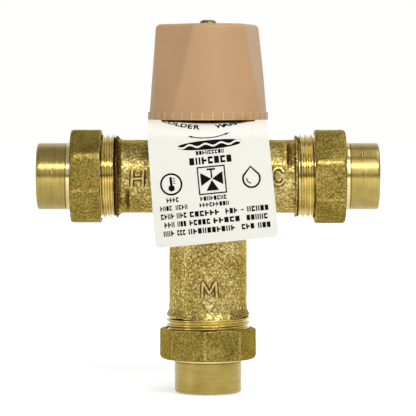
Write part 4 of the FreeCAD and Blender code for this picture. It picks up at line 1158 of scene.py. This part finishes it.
# ---- build ----
body = casting()
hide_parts("valve_body")
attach(body, "valve")
THREADS = (("hot", THREAD_X, -10.9), ("cold", THREAD_X, -12.2), ("outlet", THREAD_Z, -9.9))
for port, material, start in THREADS:
    piece = thread_piece(port, material, start)
    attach(piece, "valve")
nut_piece("hot", 40, -5.35, 6.85, 1.3)
nut_piece("cold", 50, -5.35, 6.85, 0.0)
nut_piece("outlet", 60, -4.75, 7.4, 0.0)
tail_piece("hot", TAIL_X, [(8, 8, 0.12), (-32, 20, 0.13), (88, 12, 0.1)], ARM_TAIL_CUT)
tail_piece("cold", TAIL_X, [(-44, 7, 0.12), (-4, 6, 0.13), (70, 30, 0.08)], ARM_TAIL_CUT)
tail_piece("outlet", TAIL_Z, [(150, 20, 0.1)])
cap_piece()
tag_piece()
tag_print()

# ---- light, floor and camera ----
scene = bpy.context.scene
CENTRE = (0.0, 0.0, 0.075)
FLOOR_Z = -0.0003
LENS = 232.5


def add_aimed(name, data, place, aim):
    item = add_object(name, data)
    item.location = place
    item.rotation_euler = (Vector(aim) - Vector(place)).to_track_quat("-Z", "Y").to_euler()
    return item


def area_light(name, place, aim, size, power):
    data = bpy.data.lights.new(name, "AREA")
    data.shape = "RECTANGLE"
    data.size, data.size_y = size
    data.energy = power
    add_aimed(name, data, place, aim)


area_light("key", (0.25, -0.95, 0.85), CENTRE, (1.3, 0.22), 7.6)
area_light("overhead", (0.55, 0.0, 1.1), CENTRE, (0.7, 0.9), 3.4)
area_light("right_panel", (0.15, -0.45, 0.415), (0.07, 0.0, 0.085), (0.16, 0.5), 0.42)
area_light("left_fill", (-1.1, -0.5, 0.45), CENTRE, (0.3, 0.9), 2.1)

floor_mesh = bpy.data.meshes.new("floor")
floor_mesh.from_pydata([(-6, -6, 0), (6, -6, 0), (6, 6, 0), (-6, 6, 0)], [], [(0, 1, 2, 3)])
floor = add_object("floor", floor_mesh)
floor.location.z = FLOOR_Z
paper = Shader("floor_paper")
paper.set(Base_Color=(0.9, 0.9, 0.89, 1), Roughness=1.0, Specular_IOR_Level=0.0)
rays = paper.add("LightPath").outputs
seen = paper.math("MAXIMUM", rays["Is Camera Ray"], rays["Is Glossy Ray"])
seen = paper.math("MAXIMUM", seen, rays["Is Transmission Ray"])
away = paper.add("VectorMath", {0: paper.place}, operation="LENGTH").outputs["Value"]
glow = paper.ramp(away, (0.12, 0.5), (0.5, 1.0))
paper.set(Emission_Color=(1, 1, 0.99, 1), Emission_Strength=paper.math("MULTIPLY", seen, glow))
floor_mesh.materials.append(paper.material)

world = bpy.data.worlds.new("studio")
scene.world = world
world.use_nodes = True
world.node_tree.nodes.clear()
sky = Nodes(world.node_tree)
towards = sky.add("SeparateXYZ", {0: sky.add("TexCoord").outputs["Generated"]}).outputs
height = sky.add("MapRange", {"Value": towards["Z"], "From Min": -1.0, "From Max": 1.0}).outputs["Result"]
# greys from straight down to straight up: what lights the object, and what its metal mirrors
room_grey = sky.ramp(height, (0.0, 0.7), (0.495, 0.6), (0.52, 0.16), (0.6, 0.2), (0.75, 0.4), (1.0, 0.25))
mirror_low = ((0.0, 0.9), (0.49, 0.82), (0.507, 0.28), (0.55, 0.28))
mirror_high = ((0.585, 0.72), (0.68, 0.74), (0.8, 0.5), (1.0, 0.45))
room = sky.add("Background", {"Color": room_grey})
mirrored = sky.add("Background", {"Color": sky.ramp(height, *mirror_low, *mirror_high)})
white = sky.add("Background", {"Color": (1, 1, 0.99, 1)})
rays = sky.add("LightPath").outputs
to_back = {"Value": towards["Y"], "From Min": 0.35, "From Max": 0.75}
behind = sky.add("MapRange", to_back, interpolation_type="SMOOTHSTEP").outputs["Result"]
glossy = sky.math("MAXIMUM", rays["Is Glossy Ray"], rays["Is Transmission Ray"])
backdrop = sky.math("MULTIPLY", glossy, behind)
shows_white = sky.math("MAXIMUM", rays["Is Camera Ray"], backdrop)
lit = sky.add("MixShader", {0: glossy, 1: room.outputs[0], 2: mirrored.outputs[0]})
shown = sky.add("MixShader", {0: shows_white, 1: lit.outputs[0], 2: white.outputs[0]})
sky.add("OutputWorld", {"Surface": shown.outputs[0]})

camera_data = bpy.data.cameras.new("camera")
camera_data.lens = LENS
camera_data.sensor_width = 36.0
camera_data.clip_start = 0.01
scene.camera = add_aimed("camera", camera_data, (0.0, -1.06, 0.1153), (0.0, 0.0, 0.0728))
scene.view_settings.view_transform = "Standard"
